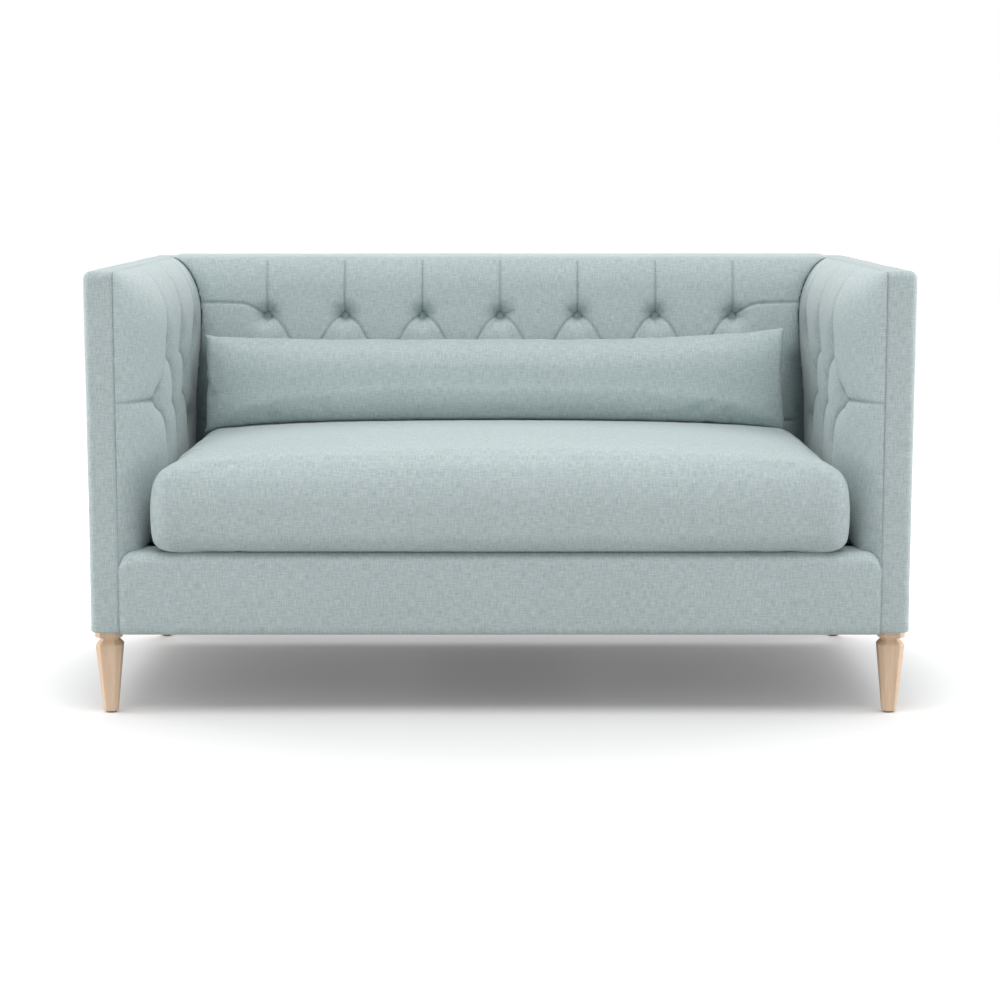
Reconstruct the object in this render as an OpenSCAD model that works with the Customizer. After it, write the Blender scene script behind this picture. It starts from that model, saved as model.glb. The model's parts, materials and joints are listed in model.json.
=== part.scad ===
// Two-seater sofa: boxed arms level with the back, deep-buttoned inside arms and back,
// one long seat cushion, a slim lumbar pillow and four tapered wooden legs.
// Millimetres, +Z up, the front faces -Y and X runs along the seat. The origin lies on
// the floor, in the middle of the overall width and depth.

/* [Overall] */
// Width over the arms
overall_w = 1520; // [1400:10:1700]
// Height of the arm and back top
arm_top_h = 826; // [800:2:880]
// Height of the cover's bottom edge, which the legs hold up
leg_h = 158; // [120:2:180]
// Depth of the covered base at its bottom edge
base_d = 830; // [800:5:880]
// Depth of the covered body at its top edge
top_d = 920; // [895:5:960]
// How far the seat cushion stands out past the front
cushion_proud = 20; // [14:1:28]
// Radius of the soft outer corners
corner_r = 14; // [10:1:18]
// Thickness of an outer cover with its wadding
cover_t = 6; // [4:0.5:8]

/* [Timber frame] */
// Width of the arm border, seen from the front
border_w = 56; // [50:1:66]
// Depth of the posts and of the back frame, front to back
post_d = 72; // [62:1:80]
// Thickness of the base rails and the cross rails
rail_t = 28; // [22:1:32]
// Height of the base rails
rail_h = 114; // [104:1:120]
// Height of the rail along the top of each arm
arm_rail_h = 28; // [22:1:36]
// Height of the rail along the top of the back
back_rail_h = 45; // [35:1:55]
// Height of the rails that the inside covers are pulled under
tuck_rail_h = 40; // [30:1:50]
// Gap between the deck and the tuck rails
tuck_gap = 6; // [4:1:12]
// Thickness of the board inside each arm
board_t = 3; // [2:0.5:4]
// Width of the centre stretcher and of the brace in the back
brace_w = 50; // [40:1:60]
// Height of the centre stretcher
stretcher_h = 45; // [35:1:60]
// Height of the corner blocks
block_h = 60; // [45:1:80]
// Length of a corner block along the rails
block_l = 84; // [70:1:100]
// Diameter of the frame dowels
dowel_d = 10; // [8:1:12]
// Length of the frame dowels
dowel_l = 56; // [44:2:60]

/* [Seat springs and deck] */
// Number of zigzag springs
spring_count = 6; // [5:1:7]
// Diameter of the spring wire
wire_d = 4; // [3:0.2:5]
// Width of a zigzag spring
spring_w = 56; // [44:2:70]
// Distance between the bars of a zigzag spring
spring_pitch = 40; // [36:1:48]
// Distance from an arm's seam to the middle of the outermost spring
spring_inset = 96; // [80:1:120]
// How far the springs arch up in the middle
spring_arch = 14; // [8:1:18]
// Width of a spring clip
clip_w = 14; // [10:1:16]
// Thickness of a clip's foot
clip_t = 1; // [0.8:0.1:1.5]
// Thickness of the hessian over the springs
hessian_t = 2; // [1:0.5:3]
// Least thickness of the deck pad
deck_pad_t = 9; // [6:1:14]
// Thickness of the deck cloth
deck_cloth_t = 2; // [1:0.5:3]
// Depth of the padded lip over the front rail
lip_d = 90; // [70:2:110]
// Thickness of that lip
lip_t = 10; // [8:1:12]
// Radius along the top edge of the front band
band_r = 18; // [12:1:24]
// Radius of the front band's upper end corners
band_end_r = 24; // [14:1:30]

/* [Inside back] */
// Distance between two buttons of a back row
back_pitch = 165; // [150:1:176]
// Number of buttons in the long back rows
back_cols = 7; // [5:2:7]
// Distance from the top edge down to the top button row on the back
back_row_drop = 123; // [108:1:136]
// Distance between the back rows
back_row_pitch = 95; // [85:1:105]
// Depth from the rear face to the seam along the inside back's top
seam_d = 155; // [145:1:165]
// How far the puffed panels stand out from that seam
back_puff = 32; // [22:1:36]
// Thickness of the buttoned cover and wadding at the seam
quilt_t = 15; // [12:1:20]
// How far the buttons pull the cover in behind the seam
back_pull = 7; // [4:1:9]
// Width of a back strap
strap_w = 50; // [36:1:52]
// Thickness of a back strap
strap_t = 1.2; // [1:0.1:2]
// How far the ends of the level straps lie over the posts
strap_tail = 30; // [20:1:36]
// Distance from an upright strap's ends to the edges of the frame's rails
strap_edge = 6; // [4:1:12]

/* [Inside arms] */
// Distance between two buttons of an arm row
arm_pitch = 180; // [168:2:190]
// Distance from the front to the first button
arm_first = 155; // [145:1:165]
// Distance from the top edge down to the top button row on the arms
arm_row_drop = 154; // [138:1:166]
// Distance between the arm rows
arm_row_pitch = 92; // [84:1:100]
// Thickness of the arm padding
arm_pad_t = 67; // [56:1:72]
// Height over which the padding rolls in at the arm's top
arm_roll_h = 125; // [100:1:140]
// How much thinner the padding is low down at the rear than at the top
arm_slim = 12; // [0:1:14]
// Thickness of the foam inside the arm padding
arm_foam_t = 28; // [20:1:30]
// Distance from the front of an arm back to that foam
arm_foam_lead = 60; // [52:1:80]
// Distance from the foam to the pad's rear and lower edges
arm_foam_edge = 12; // [8:1:20]
// Distance from the arm's top down to the foam
arm_foam_drop = 55; // [48:1:70]
// How far the arm buttons pull the padding in
arm_pull = 22; // [14:1:26]

/* [Buttons] */
// Diameter of a covered button
button_d = 18; // [14:1:22]
// Thickness of a button's rim
button_t = 2; // [1.5:0.5:3]
// Diameter of the button twine
twine_d = 2; // [1.5:0.5:3]
// Diameter of the toggle that holds a twine
toggle_d = 20; // [14:1:24]
// Thickness of that toggle
toggle_t = 2.5; // [2:0.5:4]
// Diameter of the holes punched in the foam for the twines
punch_d = 16; // [10:1:20]

/* [Legs] */
// Width of a leg across its collar
leg_collar_w = 52; // [46:1:54]
// Width of a leg at its neck
leg_neck_w = 36; // [30:1:42]
// Width of a leg at its shoulder
leg_shoulder_w = 51; // [44:1:54]
// Width of a leg at its foot
leg_foot_w = 27.5; // [24:0.5:34]
// Height of the turned part of a leg, from its shoulder up
leg_head_h = 28; // [24:1:34]
// Thickness of a foot glide
glide_t = 3; // [2:0.5:4]
// Diameter of a foot glide
glide_d = 20; // [16:1:22]
// Diameter of the bolt that holds a leg
bolt_d = 8; // [6:1:8]
// How far a leg bolt reaches into the leg, and into its post
bolt_reach = 38; // [30:1:44]
// Outer diameter of the threaded insert in a post
insert_d = 13; // [12:0.5:15]
// Length of that insert
insert_l = 22; // [16:1:26]

/* [Seat cushion] */
// Half the width of the cushion at its front corners
cushion_front_half = 646; // [600:1:700]
// How much narrower each side is between the arms
cushion_draw_in = 12; // [10:1:18]
// Gap between the cushion and the padding of an arm
cushion_side_gap = 3; // [2:0.5:6]
// Gap between the cushion and the inside back
cushion_back_gap = 12; // [10:1:18]
// Height of the widest line of the cushion above the deck
cushion_mid_h = 81; // [70:1:90]
// Height of the cushion's top edge at the corners, above the deck
cushion_corner_h = 142; // [130:1:155]
// Rise of that edge from the corners to the middle
cushion_edge_rise = 28; // [16:1:34]
// Rise of the crown from the edge to the middle
cushion_crown = 34; // [28:1:44]
// Plan radius of the cushion's corners
cushion_r = 34; // [24:1:44]
// Margin of wadding round the seat foam
foam_margin = 30; // [27:1:40]
// Length of the seat cushion's zip
seat_zip_l = 900; // [600:10:1000]

/* [Lumbar pillow] */
// Length of the pillow over its corners
pillow_l = 1208; // [1100:2:1220]
// Height of the pillow at its middle
pillow_h = 174; // [164:1:188]
// Half the thickness of the pillow
pillow_half_t = 80; // [66:1:84]
// How much higher the corners stand than the middle
pillow_ear = 18; // [8:1:24]
// How far the pillow lies off the middle, to the left
pillow_off = 8; // [0:1:12]
// Gap between the pillow and the inside back
pillow_gap = 2; // [1.5:0.5:6]
// Length of the pillow's zip
pillow_zip_l = 460; // [300:10:520]

/* [Zips] */
// Width of the zip tape that shows
zip_tape_w = 13; // [11:1:16]
// Thickness of the zip tape
zip_tape_t = 1.2; // [1:0.1:1.6]
// Width of the zip's coil
zip_coil_w = 5; // [4:0.5:6]
// Thickness of the zip's coil
zip_coil_t = 2; // [1.6:0.1:2.4]

/* [Hidden] */

cloth_c = [0.68, 0.76, 0.76];
lining_c = [0.16, 0.16, 0.17];
hessian_c = [0.62, 0.52, 0.38];
foam_c = [0.93, 0.90, 0.78];
beech_c = [0.86, 0.72, 0.55];
timber_c = [0.78, 0.63, 0.44];
board_c = [0.60, 0.46, 0.32];
steel_c = [0.62, 0.63, 0.65];
nylon_c = [0.22, 0.22, 0.23];

eps = 0.01;
fit = 0.1;
soft_gap = 0.3;
half_w = overall_w / 2;
rake = (top_d - base_d) / (arm_top_h - leg_h);
rake_a = atan(rake);
// The rounded top corner at the rear stops short of the sharp corner by this much
corner_lost = corner_r * ((1 + sin(rake_a)) / cos(rake_a) - 1);
overall_d = top_d + cushion_proud - corner_lost;
front_y = cushion_proud - overall_d / 2;

// The rear face leans back with height
function rear_y(z) = front_y + base_d + (z - leg_h) * rake;

// X of the frame's parts on the right side: seam, inner face and outer face
seam_x = half_w - border_w;
frame_in_x = seam_x + board_t;
frame_out_x = half_w - cover_t;
frame_front_y = front_y + cover_t;
frame_top_z = arm_top_h - cover_t;
frame_rear_d = cover_t + post_d;
rail_top_z = leg_h + rail_h;
spring_z = rail_top_z + clip_t + wire_d / 2;
deck_z = spring_z + spring_arch + wire_d / 2 + hessian_t + deck_pad_t + deck_cloth_t;
tuck_z = deck_z + tuck_gap;
wrap_w = corner_r + 4;

// A bar along X whose front and back faces lean like the back. The depths count
// forwards from the rear face.
module raked_bar(x0, x1, d0, d1, z0, z1) {
  translate([x0, 0, 0])
    rotate([90, 0, 90])
      linear_extrude(height = x1 - x0)
        polygon([
          [rear_y(z0) - d1, z0], [rear_y(z0) - d0, z0],
          [rear_y(z1) - d0, z1], [rear_y(z1) - d1, z1]
        ]);
}

// An upright box that runs from a fixed y to a face that leans like the back
module to_rake(x0, x1, y0, d1, z0, z1) {
  translate([x0, 0, 0])
    rotate([90, 0, 90])
      linear_extrude(height = x1 - x0)
        polygon([[y0, z0], [rear_y(z0) - d1, z0], [rear_y(z1) - d1, z1], [y0, z1]]);
}

module box(x0, x1, y0, y1, z0, z1) {
  translate([x0, y0, z0]) cube([x1 - x0, y1 - y0, z1 - z0]);
}

module on_side(side) {
  if (side > 0) children();
  else mirror([1, 0, 0]) children();
}

// Frame joints. Each dowel is [centre, direction] and lies across the joint of two
// timbers; the right side is listed and the left mirrors it.
dowel_low = leg_h + 0.28 * rail_h;
dowel_high = leg_h + 0.78 * rail_h;
side_rail_x = frame_out_x - rail_t / 2;
post_x = (frame_in_x + frame_out_x) / 2;
arm_rail_z = frame_top_z - arm_rail_h;
tuck_x = frame_in_x + rail_t / 2;
tuck_mid_z = tuck_z + tuck_rail_h / 2;
post_rear_y = frame_front_y + post_d;
right_dowels = concat(
  [for (z = [dowel_low, dowel_high]) each [
    [[frame_in_x, frame_front_y + rail_t / 2, z], "x"],
    [[frame_in_x, rear_y(z) - cover_t - rail_t / 2, z], "x"],
    [[side_rail_x, post_rear_y, z], "y"],
    [[side_rail_x, rear_y(z) - frame_rear_d, z], "y"]
  ]],
  [
    [[frame_in_x, rear_y(frame_top_z - back_rail_h / 2) - cover_t - post_d / 2,
      frame_top_z - back_rail_h / 2], "x"],
    [[frame_in_x, rear_y(tuck_mid_z) - frame_rear_d + rail_t / 2, tuck_mid_z], "x"],
    [[tuck_x, post_rear_y, tuck_mid_z], "y"],
    [[tuck_x, rear_y(tuck_mid_z) - frame_rear_d, tuck_mid_z], "y"],
    [[post_x, frame_front_y + post_d / 2, arm_rail_z], "z"],
    [[post_x, rear_y(arm_rail_z) - cover_t - 0.65 * post_d, arm_rail_z], "z"]
  ]
);

module dowel_at(dowel, d, l) {
  translate(dowel[0])
    rotate(dowel[1] == "x" ? [0, 90, 0] : dowel[1] == "y" ? [90, 0, 0] : [0, 0, 0])
      cylinder(d = d, h = l, center = true, $fn = 32);
}

// An upright dowel ends inside the arm's top rail
function dowel_run(dowel) = dowel[1] == "z" ? min(dowel_l, 2 * (arm_rail_h - 4)) : dowel_l;

module dowel_set(d, longer) {
  for (side = [-1, 1])
    on_side(side)
      for (dowel = right_dowels)
        dowel_at(dowel, d, dowel_run(dowel) + longer);
}

module frame_dowels() {
  color(beech_c) dowel_set(dowel_d, 0);
}

// Cuts the dowel holes of one side, a little larger than the dowels
module doweled(side) {
  difference() {
    children();
    on_side(side)
      for (dowel = right_dowels)
        dowel_at(dowel, dowel_d + 2 * fit, dowel_run(dowel) + 2);
  }
}

module doweled_ends() {
  difference() {
    children();
    dowel_set(dowel_d + 2 * fit, 2);
  }
}

module front_rail() {
  color(timber_c)
    doweled_ends()
      box(-frame_in_x, frame_in_x, frame_front_y, frame_front_y + rail_t, leg_h, rail_top_z);
}

module rear_rail() {
  color(timber_c)
    doweled_ends()
      raked_bar(-frame_in_x, frame_in_x, cover_t + fit, cover_t + rail_t, leg_h, rail_top_z);
}

module side_rail(side) {
  color(timber_c)
    doweled(side)
      on_side(side)
        to_rake(frame_out_x - rail_t, frame_out_x, post_rear_y, frame_rear_d, leg_h, rail_top_z);
}

module centre_stretcher() {
  color(timber_c)
    to_rake(-brace_w / 2, brace_w / 2, frame_front_y + rail_t, cover_t + rail_t,
      leg_h, leg_h + stretcher_h);
}

// The axis of each leg bolt, under the middle of its post
leg_front_y = frame_front_y + post_d / 2;
leg_rear_y = rear_y(leg_h) - cover_t - post_d / 2;
insert_hole_l = bolt_reach + 4;

module bolt_hole(y) {
  translate([post_x, y, leg_h - 1])
    cylinder(d = bolt_d + 2 * fit, h = insert_hole_l + 1, $fn = 32);
  translate([post_x, y, leg_h - 1])
    cylinder(d = insert_d + 2 * fit, h = insert_l + 1, $fn = 32);
}

module arm_post(side) {
  color(timber_c)
    doweled(side)
      on_side(side)
        difference() {
          intersection() {
            box(frame_in_x, frame_out_x, frame_front_y, post_rear_y, leg_h, arm_rail_z);
            case_block(cover_t);
          }
          bolt_hole(leg_front_y);
        }
}

module back_post(side) {
  color(timber_c)
    doweled(side)
      on_side(side)
        difference() {
          intersection() {
            raked_bar(frame_in_x, frame_out_x, cover_t, frame_rear_d, leg_h, arm_rail_z);
            case_block(cover_t);
          }
          bolt_hole(leg_rear_y);
        }
}

module arm_top_rail(side) {
  color(timber_c)
    doweled(side)
      on_side(side)
        intersection() {
          to_rake(frame_in_x, frame_out_x, frame_front_y, cover_t, arm_rail_z, frame_top_z);
          case_block(cover_t);
        }
}

module arm_tuck_rail(side) {
  color(timber_c)
    doweled(side)
      on_side(side)
        to_rake(frame_in_x, frame_in_x + rail_t, post_rear_y, frame_rear_d,
          tuck_z, tuck_z + tuck_rail_h);
}

module back_top_rail() {
  color(timber_c)
    doweled_ends()
      intersection() {
        raked_bar(-frame_in_x, frame_in_x, cover_t, frame_rear_d,
          frame_top_z - back_rail_h, frame_top_z);
        case_block(cover_t);
      }
}

module back_tuck_rail() {
  color(timber_c)
    doweled_ends()
      raked_bar(-frame_in_x, frame_in_x, frame_rear_d - rail_t, frame_rear_d,
        tuck_z, tuck_z + tuck_rail_h);
}

module back_brace() {
  color(timber_c)
    raked_bar(-brace_w / 2, brace_w / 2, cover_t + fit, frame_rear_d - rail_t,
      rail_top_z, frame_top_z - back_rail_h);
}

// Five-sided blocks glued across the corners of the base
module corner_block_plan(y, way) {
  polygon([
    [frame_in_x - block_l, y], [frame_in_x, y],
    [frame_in_x, y + way * (post_d - rail_t)],
    [frame_out_x - rail_t, y + way * (post_d - rail_t)],
    [frame_out_x - rail_t, y + way * (post_d - rail_t + block_l)]
  ]);
}

module corner_blocks() {
  block_z = leg_h + (rail_h - block_h) / 2;
  color(timber_c)
    for (side = [-1, 1])
      on_side(side) {
        translate([0, 0, block_z])
          linear_extrude(height = block_h)
            corner_block_plan(frame_front_y + rail_t, 1);
        intersection() {
          translate([0, 0, block_z])
            linear_extrude(height = block_h)
              corner_block_plan(rear_y(block_z) - cover_t - rail_t, -1);
          union() {
            to_rake(0, frame_in_x, 0, cover_t + rail_t, block_z, block_z + block_h);
            to_rake(0, frame_out_x - rail_t, 0, frame_rear_d, block_z, block_z + block_h);
          }
        }
      }
}

module arm_board(side) {
  color(board_c)
    on_side(side)
      difference() {
        intersection() {
          to_rake(seam_x, frame_in_x, frame_front_y, back_sheet_d + fit, deck_z, frame_top_z);
          case_block(cover_t);
        }
        arm_twine_bores(twine_d + 1);
      }
}

// The covered body as one solid, set in by a given depth: the side view, the front view
// and the two plan views each round their own edges.
module corner_cut(x, y, r) {
  difference() {
    translate([x - r, y - r]) square(r + 1);
    translate([x - r, y - r]) circle(r = r, $fn = 64);
  }
}

module side_view(inset) {
  r = corner_r - inset;
  z1 = arm_top_h - inset;
  y1 = rear_y(z1) - inset;
  round_y = y1 - r * (1 + sin(rake_a)) / cos(rake_a);
  difference() {
    polygon([
      [front_y + inset, leg_h - (inset > 0 ? 2 : 0)],
      [rear_y(leg_h) - inset - (inset > 0 ? 2 * rake : 0), leg_h - (inset > 0 ? 2 : 0)],
      [y1, z1], [front_y + inset, z1]
    ]);
    mirror([1, 0, 0]) corner_cut(-front_y - inset, z1, r);
    difference() {
      polygon([
        [round_y, z1 - r], [round_y, z1 + 1], [y1 + 2, z1 + 1],
        [round_y + (r + 2) * cos(rake_a), z1 - r - (r + 2) * sin(rake_a)]
      ]);
      translate([round_y, z1 - r]) circle(r = r, $fn = 64);
    }
  }
}

module front_view(inset) {
  w = half_w - inset;
  z1 = arm_top_h - inset;
  difference() {
    translate([-w, 0]) square([2 * w, z1]);
    corner_cut(w, z1, corner_r - inset);
    mirror([1, 0, 0]) corner_cut(w, z1, corner_r - inset);
  }
}

module plan_view(inset, depth) {
  w = half_w - inset;
  difference() {
    translate([-w, -depth]) square([2 * w, depth]);
    corner_cut(w, 0, corner_r - inset);
    mirror([1, 0, 0]) corner_cut(w, 0, corner_r - inset);
  }
}

module case_block(inset) {
  intersection() {
    translate([inset - half_w, 0, 0])
      rotate([90, 0, 90])
        linear_extrude(height = 2 * (half_w - inset))
          side_view(inset);
    translate([0, overall_d, 0])
      rotate([90, 0, 0])
        linear_extrude(height = 2 * overall_d)
          front_view(inset);
    translate([0, front_y + inset, 0])
      mirror([0, 1, 0])
        linear_extrude(height = arm_top_h + 10)
          plan_view(inset, 2 * overall_d);
    translate([0, rear_y(leg_h) - inset, leg_h])
      rotate([-rake_a, 0, 0])
        translate([0, 0, -leg_h - overall_d * rake])
          linear_extrude(height = 2 * arm_top_h)
            plan_view(inset, 2 * overall_d);
  }
}

module case_shell() {
  difference() {
    case_block(0);
    case_block(cover_t);
  }
}

module arm_border(side) {
  color(cloth_c)
    on_side(side)
      intersection() {
        case_shell();
        union() {
          box(seam_x, half_w + 1, front_y - 1, front_y + wrap_w, leg_h, arm_top_h + 1);
          box(seam_x, half_w + 1, front_y - 1, overall_d, arm_top_h - wrap_w, arm_top_h + 1);
        }
      }
}

module outside_arm(side) {
  color(cloth_c)
    on_side(side)
      intersection() {
        case_shell();
        to_rake(seam_x, half_w + 1, front_y + wrap_w, wrap_w, leg_h, arm_top_h - wrap_w);
      }
}

module outside_back() {
  color(cloth_c)
    intersection() {
      case_shell();
      raked_bar(-half_w - 1, half_w + 1, -1, wrap_w, leg_h, arm_top_h - wrap_w);
    }
}

module back_top_band() {
  color(cloth_c)
    intersection() {
      case_shell();
      raked_bar(-seam_x, seam_x, -1, seam_d, arm_top_h - wrap_w, arm_top_h + 1);
    }
}

// The front band covers the front rail and turns over it as the deck's padded lip
module front_band_profile() {
  y0 = front_y;
  rail_y = frame_front_y + rail_t;
  clip_z = spring_z + wire_d / 2 + clip_t + 1;
  difference() {
    polygon([
      [y0, leg_h], [y0 + cover_t, leg_h], [y0 + cover_t, rail_top_z + eps],
      [y0 + cover_t + 6, clip_z], [rail_y + 4, clip_z],
      [rail_y + 4 + lip_t, deck_z - lip_t], [y0 + lip_d, deck_z - lip_t],
      [y0 + lip_d, deck_z], [y0, deck_z]
    ]);
    mirror([1, 0, 0]) corner_cut(-y0, deck_z, band_r);
  }
}

module front_band() {
  color(cloth_c)
    intersection() {
      translate([-seam_x, 0, 0])
        rotate([90, 0, 90])
          linear_extrude(height = 2 * seam_x)
            front_band_profile();
      translate([0, front_y + overall_d, 0])
        rotate([90, 0, 0])
          linear_extrude(height = 2 * overall_d)
            difference() {
              translate([-seam_x, 0]) square([2 * seam_x, deck_z]);
              corner_cut(seam_x, deck_z, band_end_r);
              mirror([1, 0, 0]) corner_cut(seam_x, deck_z, band_end_r);
            }
    }
}

// Zigzag seat springs: a wire swept along bars that run across, joined by round turns
spring_y0 = frame_front_y + rail_t / 2;
spring_y1 = rear_y(rail_top_z) - cover_t - rail_t / 2;
spring_bars = 2 * floor((spring_y1 - spring_y0) / spring_pitch / 2) + 1;
spring_step = (spring_y1 - spring_y0) / (spring_bars - 1);
spring_gap = 2 * (seam_x - spring_inset) / (spring_count - 1);
spring_xs = [for (i = [0:spring_count - 1]) (i - (spring_count - 1) / 2) * spring_gap];
wire_sides = 6;

function arch_z(y) =
  let (t = 2 * (y - spring_y0) / (spring_y1 - spring_y0) - 1)
  spring_z + spring_arch * (1 - t * t);

function spring_path(x) =
  let (w = spring_w / 2, turn = spring_step / 2, reach = w - turn)
  [for (i = [0:spring_bars - 1])
    let (side = i % 2 == 0 ? 1 : -1, y = spring_y0 + i * spring_step)
    each concat(
      i == 0 ? [[x - side * w, y]] : [[x - side * reach, y]],
      i == spring_bars - 1 ? [[x + side * w, y]] : [
        [x + side * reach, y],
        [x + side * (reach + turn * sin(60)), y + turn * (1 - cos(60))],
        [x + side * (reach + turn * sin(60)), y + turn * (1 + cos(60))]
      ]
    )
  ];

function unit(v) = v / norm(v);

module swept_wire(path, r) {
  n = len(path);
  tangents = [for (i = [0:n - 1]) unit(path[min(i + 1, n - 1)] - path[max(i - 1, 0)])];
  points = [for (i = [0:n - 1])
    let (side = unit(cross(tangents[i], [0, 0, 1])), up = cross(side, tangents[i]))
    for (k = [0:wire_sides - 1])
      let (a = 360 * k / wire_sides)
      path[i] + r * (cos(a) * side + sin(a) * up)];
  walls = [for (i = [0:n - 2], k = [0:wire_sides - 1])
    let (
      a = i * wire_sides + k,
      b = i * wire_sides + (k + 1) % wire_sides,
      c = a + wire_sides,
      d = b + wire_sides
    )
    each [[a, b, d], [a, d, c]]];
  last = (n - 1) * wire_sides;
  caps = [for (k = [1:wire_sides - 2]) each [
    [0, k + 1, k], [last, last + k, last + k + 1]
  ]];
  polyhedron(points = points, faces = concat(walls, caps), convexity = 10);
}

module seat_springs() {
  color(steel_c)
    for (x = spring_xs)
      swept_wire([for (p = spring_path(x)) [p[0], p[1], arch_z(p[1])]], wire_d / 2);
}

module spring_clips() {
  bore_d = wire_d + 4 * fit;
  clip_top = spring_z + bore_d / 2 + clip_t;
  color(steel_c)
    for (x = spring_xs, y = [spring_y0, spring_y1])
      difference() {
        box(x - clip_w / 2, x + clip_w / 2, y - wire_d, y + wire_d, rail_top_z, clip_top);
        translate([x, y, spring_z])
          rotate([0, 90, 0])
            cylinder(d = bore_d, h = clip_w + 2, center = true, $fn = 32);
      }
}

// Hessian and pad follow the arch of the springs; the deck cloth lies flat on top
hessian_y0 = frame_front_y + rail_t + lip_t + 5;
hessian_y1 = rear_y(rail_top_z) - cover_t - rail_t - 4;
deck_x = seam_x - 1;
deck_y0 = front_y + lip_d;
deck_y1 = rear_y(leg_h) - cover_t - rail_t;
arch_steps = 16;

function arch_line(y0, y1, lift) =
  [for (i = [0:arch_steps]) let (y = y0 + (y1 - y0) * i / arch_steps) [y, arch_z(y) + lift]];

function reversed(list) = [for (i = [len(list) - 1:-1:0]) list[i]];

module along_deck(outline) {
  translate([-deck_x, 0, 0])
    rotate([90, 0, 90])
      linear_extrude(height = 2 * deck_x)
        polygon(outline);
}

hessian_lift = wire_d / 2 + 2 * fit;

// The hessian is notched round the foot of the back's brace
module deck_hessian() {
  notch_x = brace_w / 2 + 1;
  color(hessian_c)
    difference() {
      along_deck(concat(
        arch_line(hessian_y0, hessian_y1, hessian_lift),
        reversed(arch_line(hessian_y0, hessian_y1, hessian_lift + hessian_t - fit))
      ));
      box(-notch_x, notch_x, rear_y(rail_top_z) - frame_rear_d + rail_t - 1, hessian_y1 + 1,
        rail_top_z, deck_z);
    }
}

module deck_pad() {
  top_z = deck_z - deck_cloth_t;
  color(foam_c)
    along_deck(concat(
      arch_line(deck_y0, deck_y1, hessian_lift + hessian_t),
      [[deck_y1, top_z], [deck_y0, top_z]]
    ));
}

module deck_cloth() {
  color(lining_c)
    box(-deck_x, deck_x, deck_y0, deck_y1, deck_z - deck_cloth_t, deck_z);
}

// Button grids. Rows alternate: the first and third hold the same columns, the second
// lies half a pitch aside.
back_row_z = arm_top_h - back_row_drop;
back_half = back_pitch / 2;
back_long = [for (i = [-(back_cols - 1) / 2:(back_cols - 1) / 2]) i * back_pitch];
back_short = [for (i = [0:back_cols - 2]) back_long[i] + back_half];
function back_row_height(row) = back_row_z - row * back_row_pitch;
back_points = [for (row = [0:2]) for (x = row == 1 ? back_short : back_long)
  [x, back_row_height(row)]];

arm_row_z = arm_top_h - arm_row_drop;
arm_half = arm_pitch / 2;
arm_cols = 3;
arm_middle = [for (i = [0:arm_cols - 1]) arm_first + i * arm_pitch];
arm_outer = [for (y = arm_middle) y + arm_half];
function arm_row_height(row) = arm_row_z - row * arm_row_pitch;
arm_points = [for (row = [0:2]) for (y = row == 1 ? arm_middle : arm_outer)
  [y, arm_row_height(row)]];

// Distance from p to the line piece a-b
function to_line(p, a, b) =
  let (ab = b - a, t = max(0, min(1, (p - a) * ab / (ab * ab))))
  norm(p - a - t * ab);

function near(p, points) = min([for (q = points) norm(p - q)]);
function near_lines(p, lines) = min([for (l = lines) to_line(p, l[0], l[1])]);
function smooth(t) = let (c = max(0, min(1, t))) c * c * (3 - 2 * c);

// Pleats run between diagonal neighbours, up and down from the outer rows, and out to
// the side from the ends of the rows.
function diagonals(points, half, drop) =
  [for (p = points, q = points)
    if (p[1] > q[1] + 1 && p[1] - q[1] < drop + 1 && abs(abs(p[0] - q[0]) - half) < 1)
      [p, q]];

back_end_x = back_long[back_cols - 1];
back_pleats = concat(
  diagonals(back_points, back_half, back_row_pitch),
  [for (x = back_long) each [
    [[x, back_row_height(0)], [x, arm_top_h]],
    [[x, back_row_height(2)], [x, 0]]
  ]],
  [for (side = [-1, 1]) each [
    [[side * back_end_x, back_row_height(0)], [side * seam_x, back_row_height(0) + 30]],
    [[side * back_end_x, back_row_height(2)], [side * seam_x, back_row_height(2) - 30]]
  ]]
);
arm_pleats = concat(
  diagonals(arm_points, arm_half, arm_row_pitch),
  [for (y = arm_outer) each [
    [[y, arm_row_height(0)], [y, arm_top_h]],
    [[y, arm_row_height(2)], [y, 0]]
  ]],
  [[[arm_first, arm_row_height(1)], [0, arm_row_height(1) + 6]]]
);

// A grid surface over a flat back: fronts holds rows of front points, backs the matching
// rows of back points, and the diagonal of each cell follows the pleats.
module padded_panel(fronts, backs, split) {
  rows = len(fronts);
  cols = len(fronts[0]);
  n = rows * cols;
  hub = (backs[0][0] + backs[0][cols - 1] + backs[rows - 1][0] + backs[rows - 1][cols - 1]) / 4;
  points = concat([for (row = fronts) each row], [for (row = backs) each row], [hub]);
  front_faces = [for (j = [0:rows - 2], i = [0:cols - 2])
    let (a = j * cols + i, b = a + 1, c = a + cols, d = c + 1)
    each split[j][i] ? [[a, d, b], [a, c, d]] : [[a, c, b], [b, c, d]]];
  rim = concat(
    [for (i = [0:cols - 2]) i],
    [for (j = [0:rows - 2]) j * cols + cols - 1],
    [for (i = [cols - 1:-1:1]) (rows - 1) * cols + i],
    [for (j = [rows - 1:-1:1]) j * cols]
  );
  m = len(rim);
  sides = [for (k = [0:m - 1])
    let (a = rim[k], b = rim[(k + 1) % m])
    each [[a, b, b + n], [a, b + n, a + n]]];
  rear = [for (k = [0:m - 1]) [2 * n, rim[k] + n, rim[(k + 1) % m] + n]];
  polyhedron(points = points, faces = concat(front_faces, sides, rear), convexity = 10);
}

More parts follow.
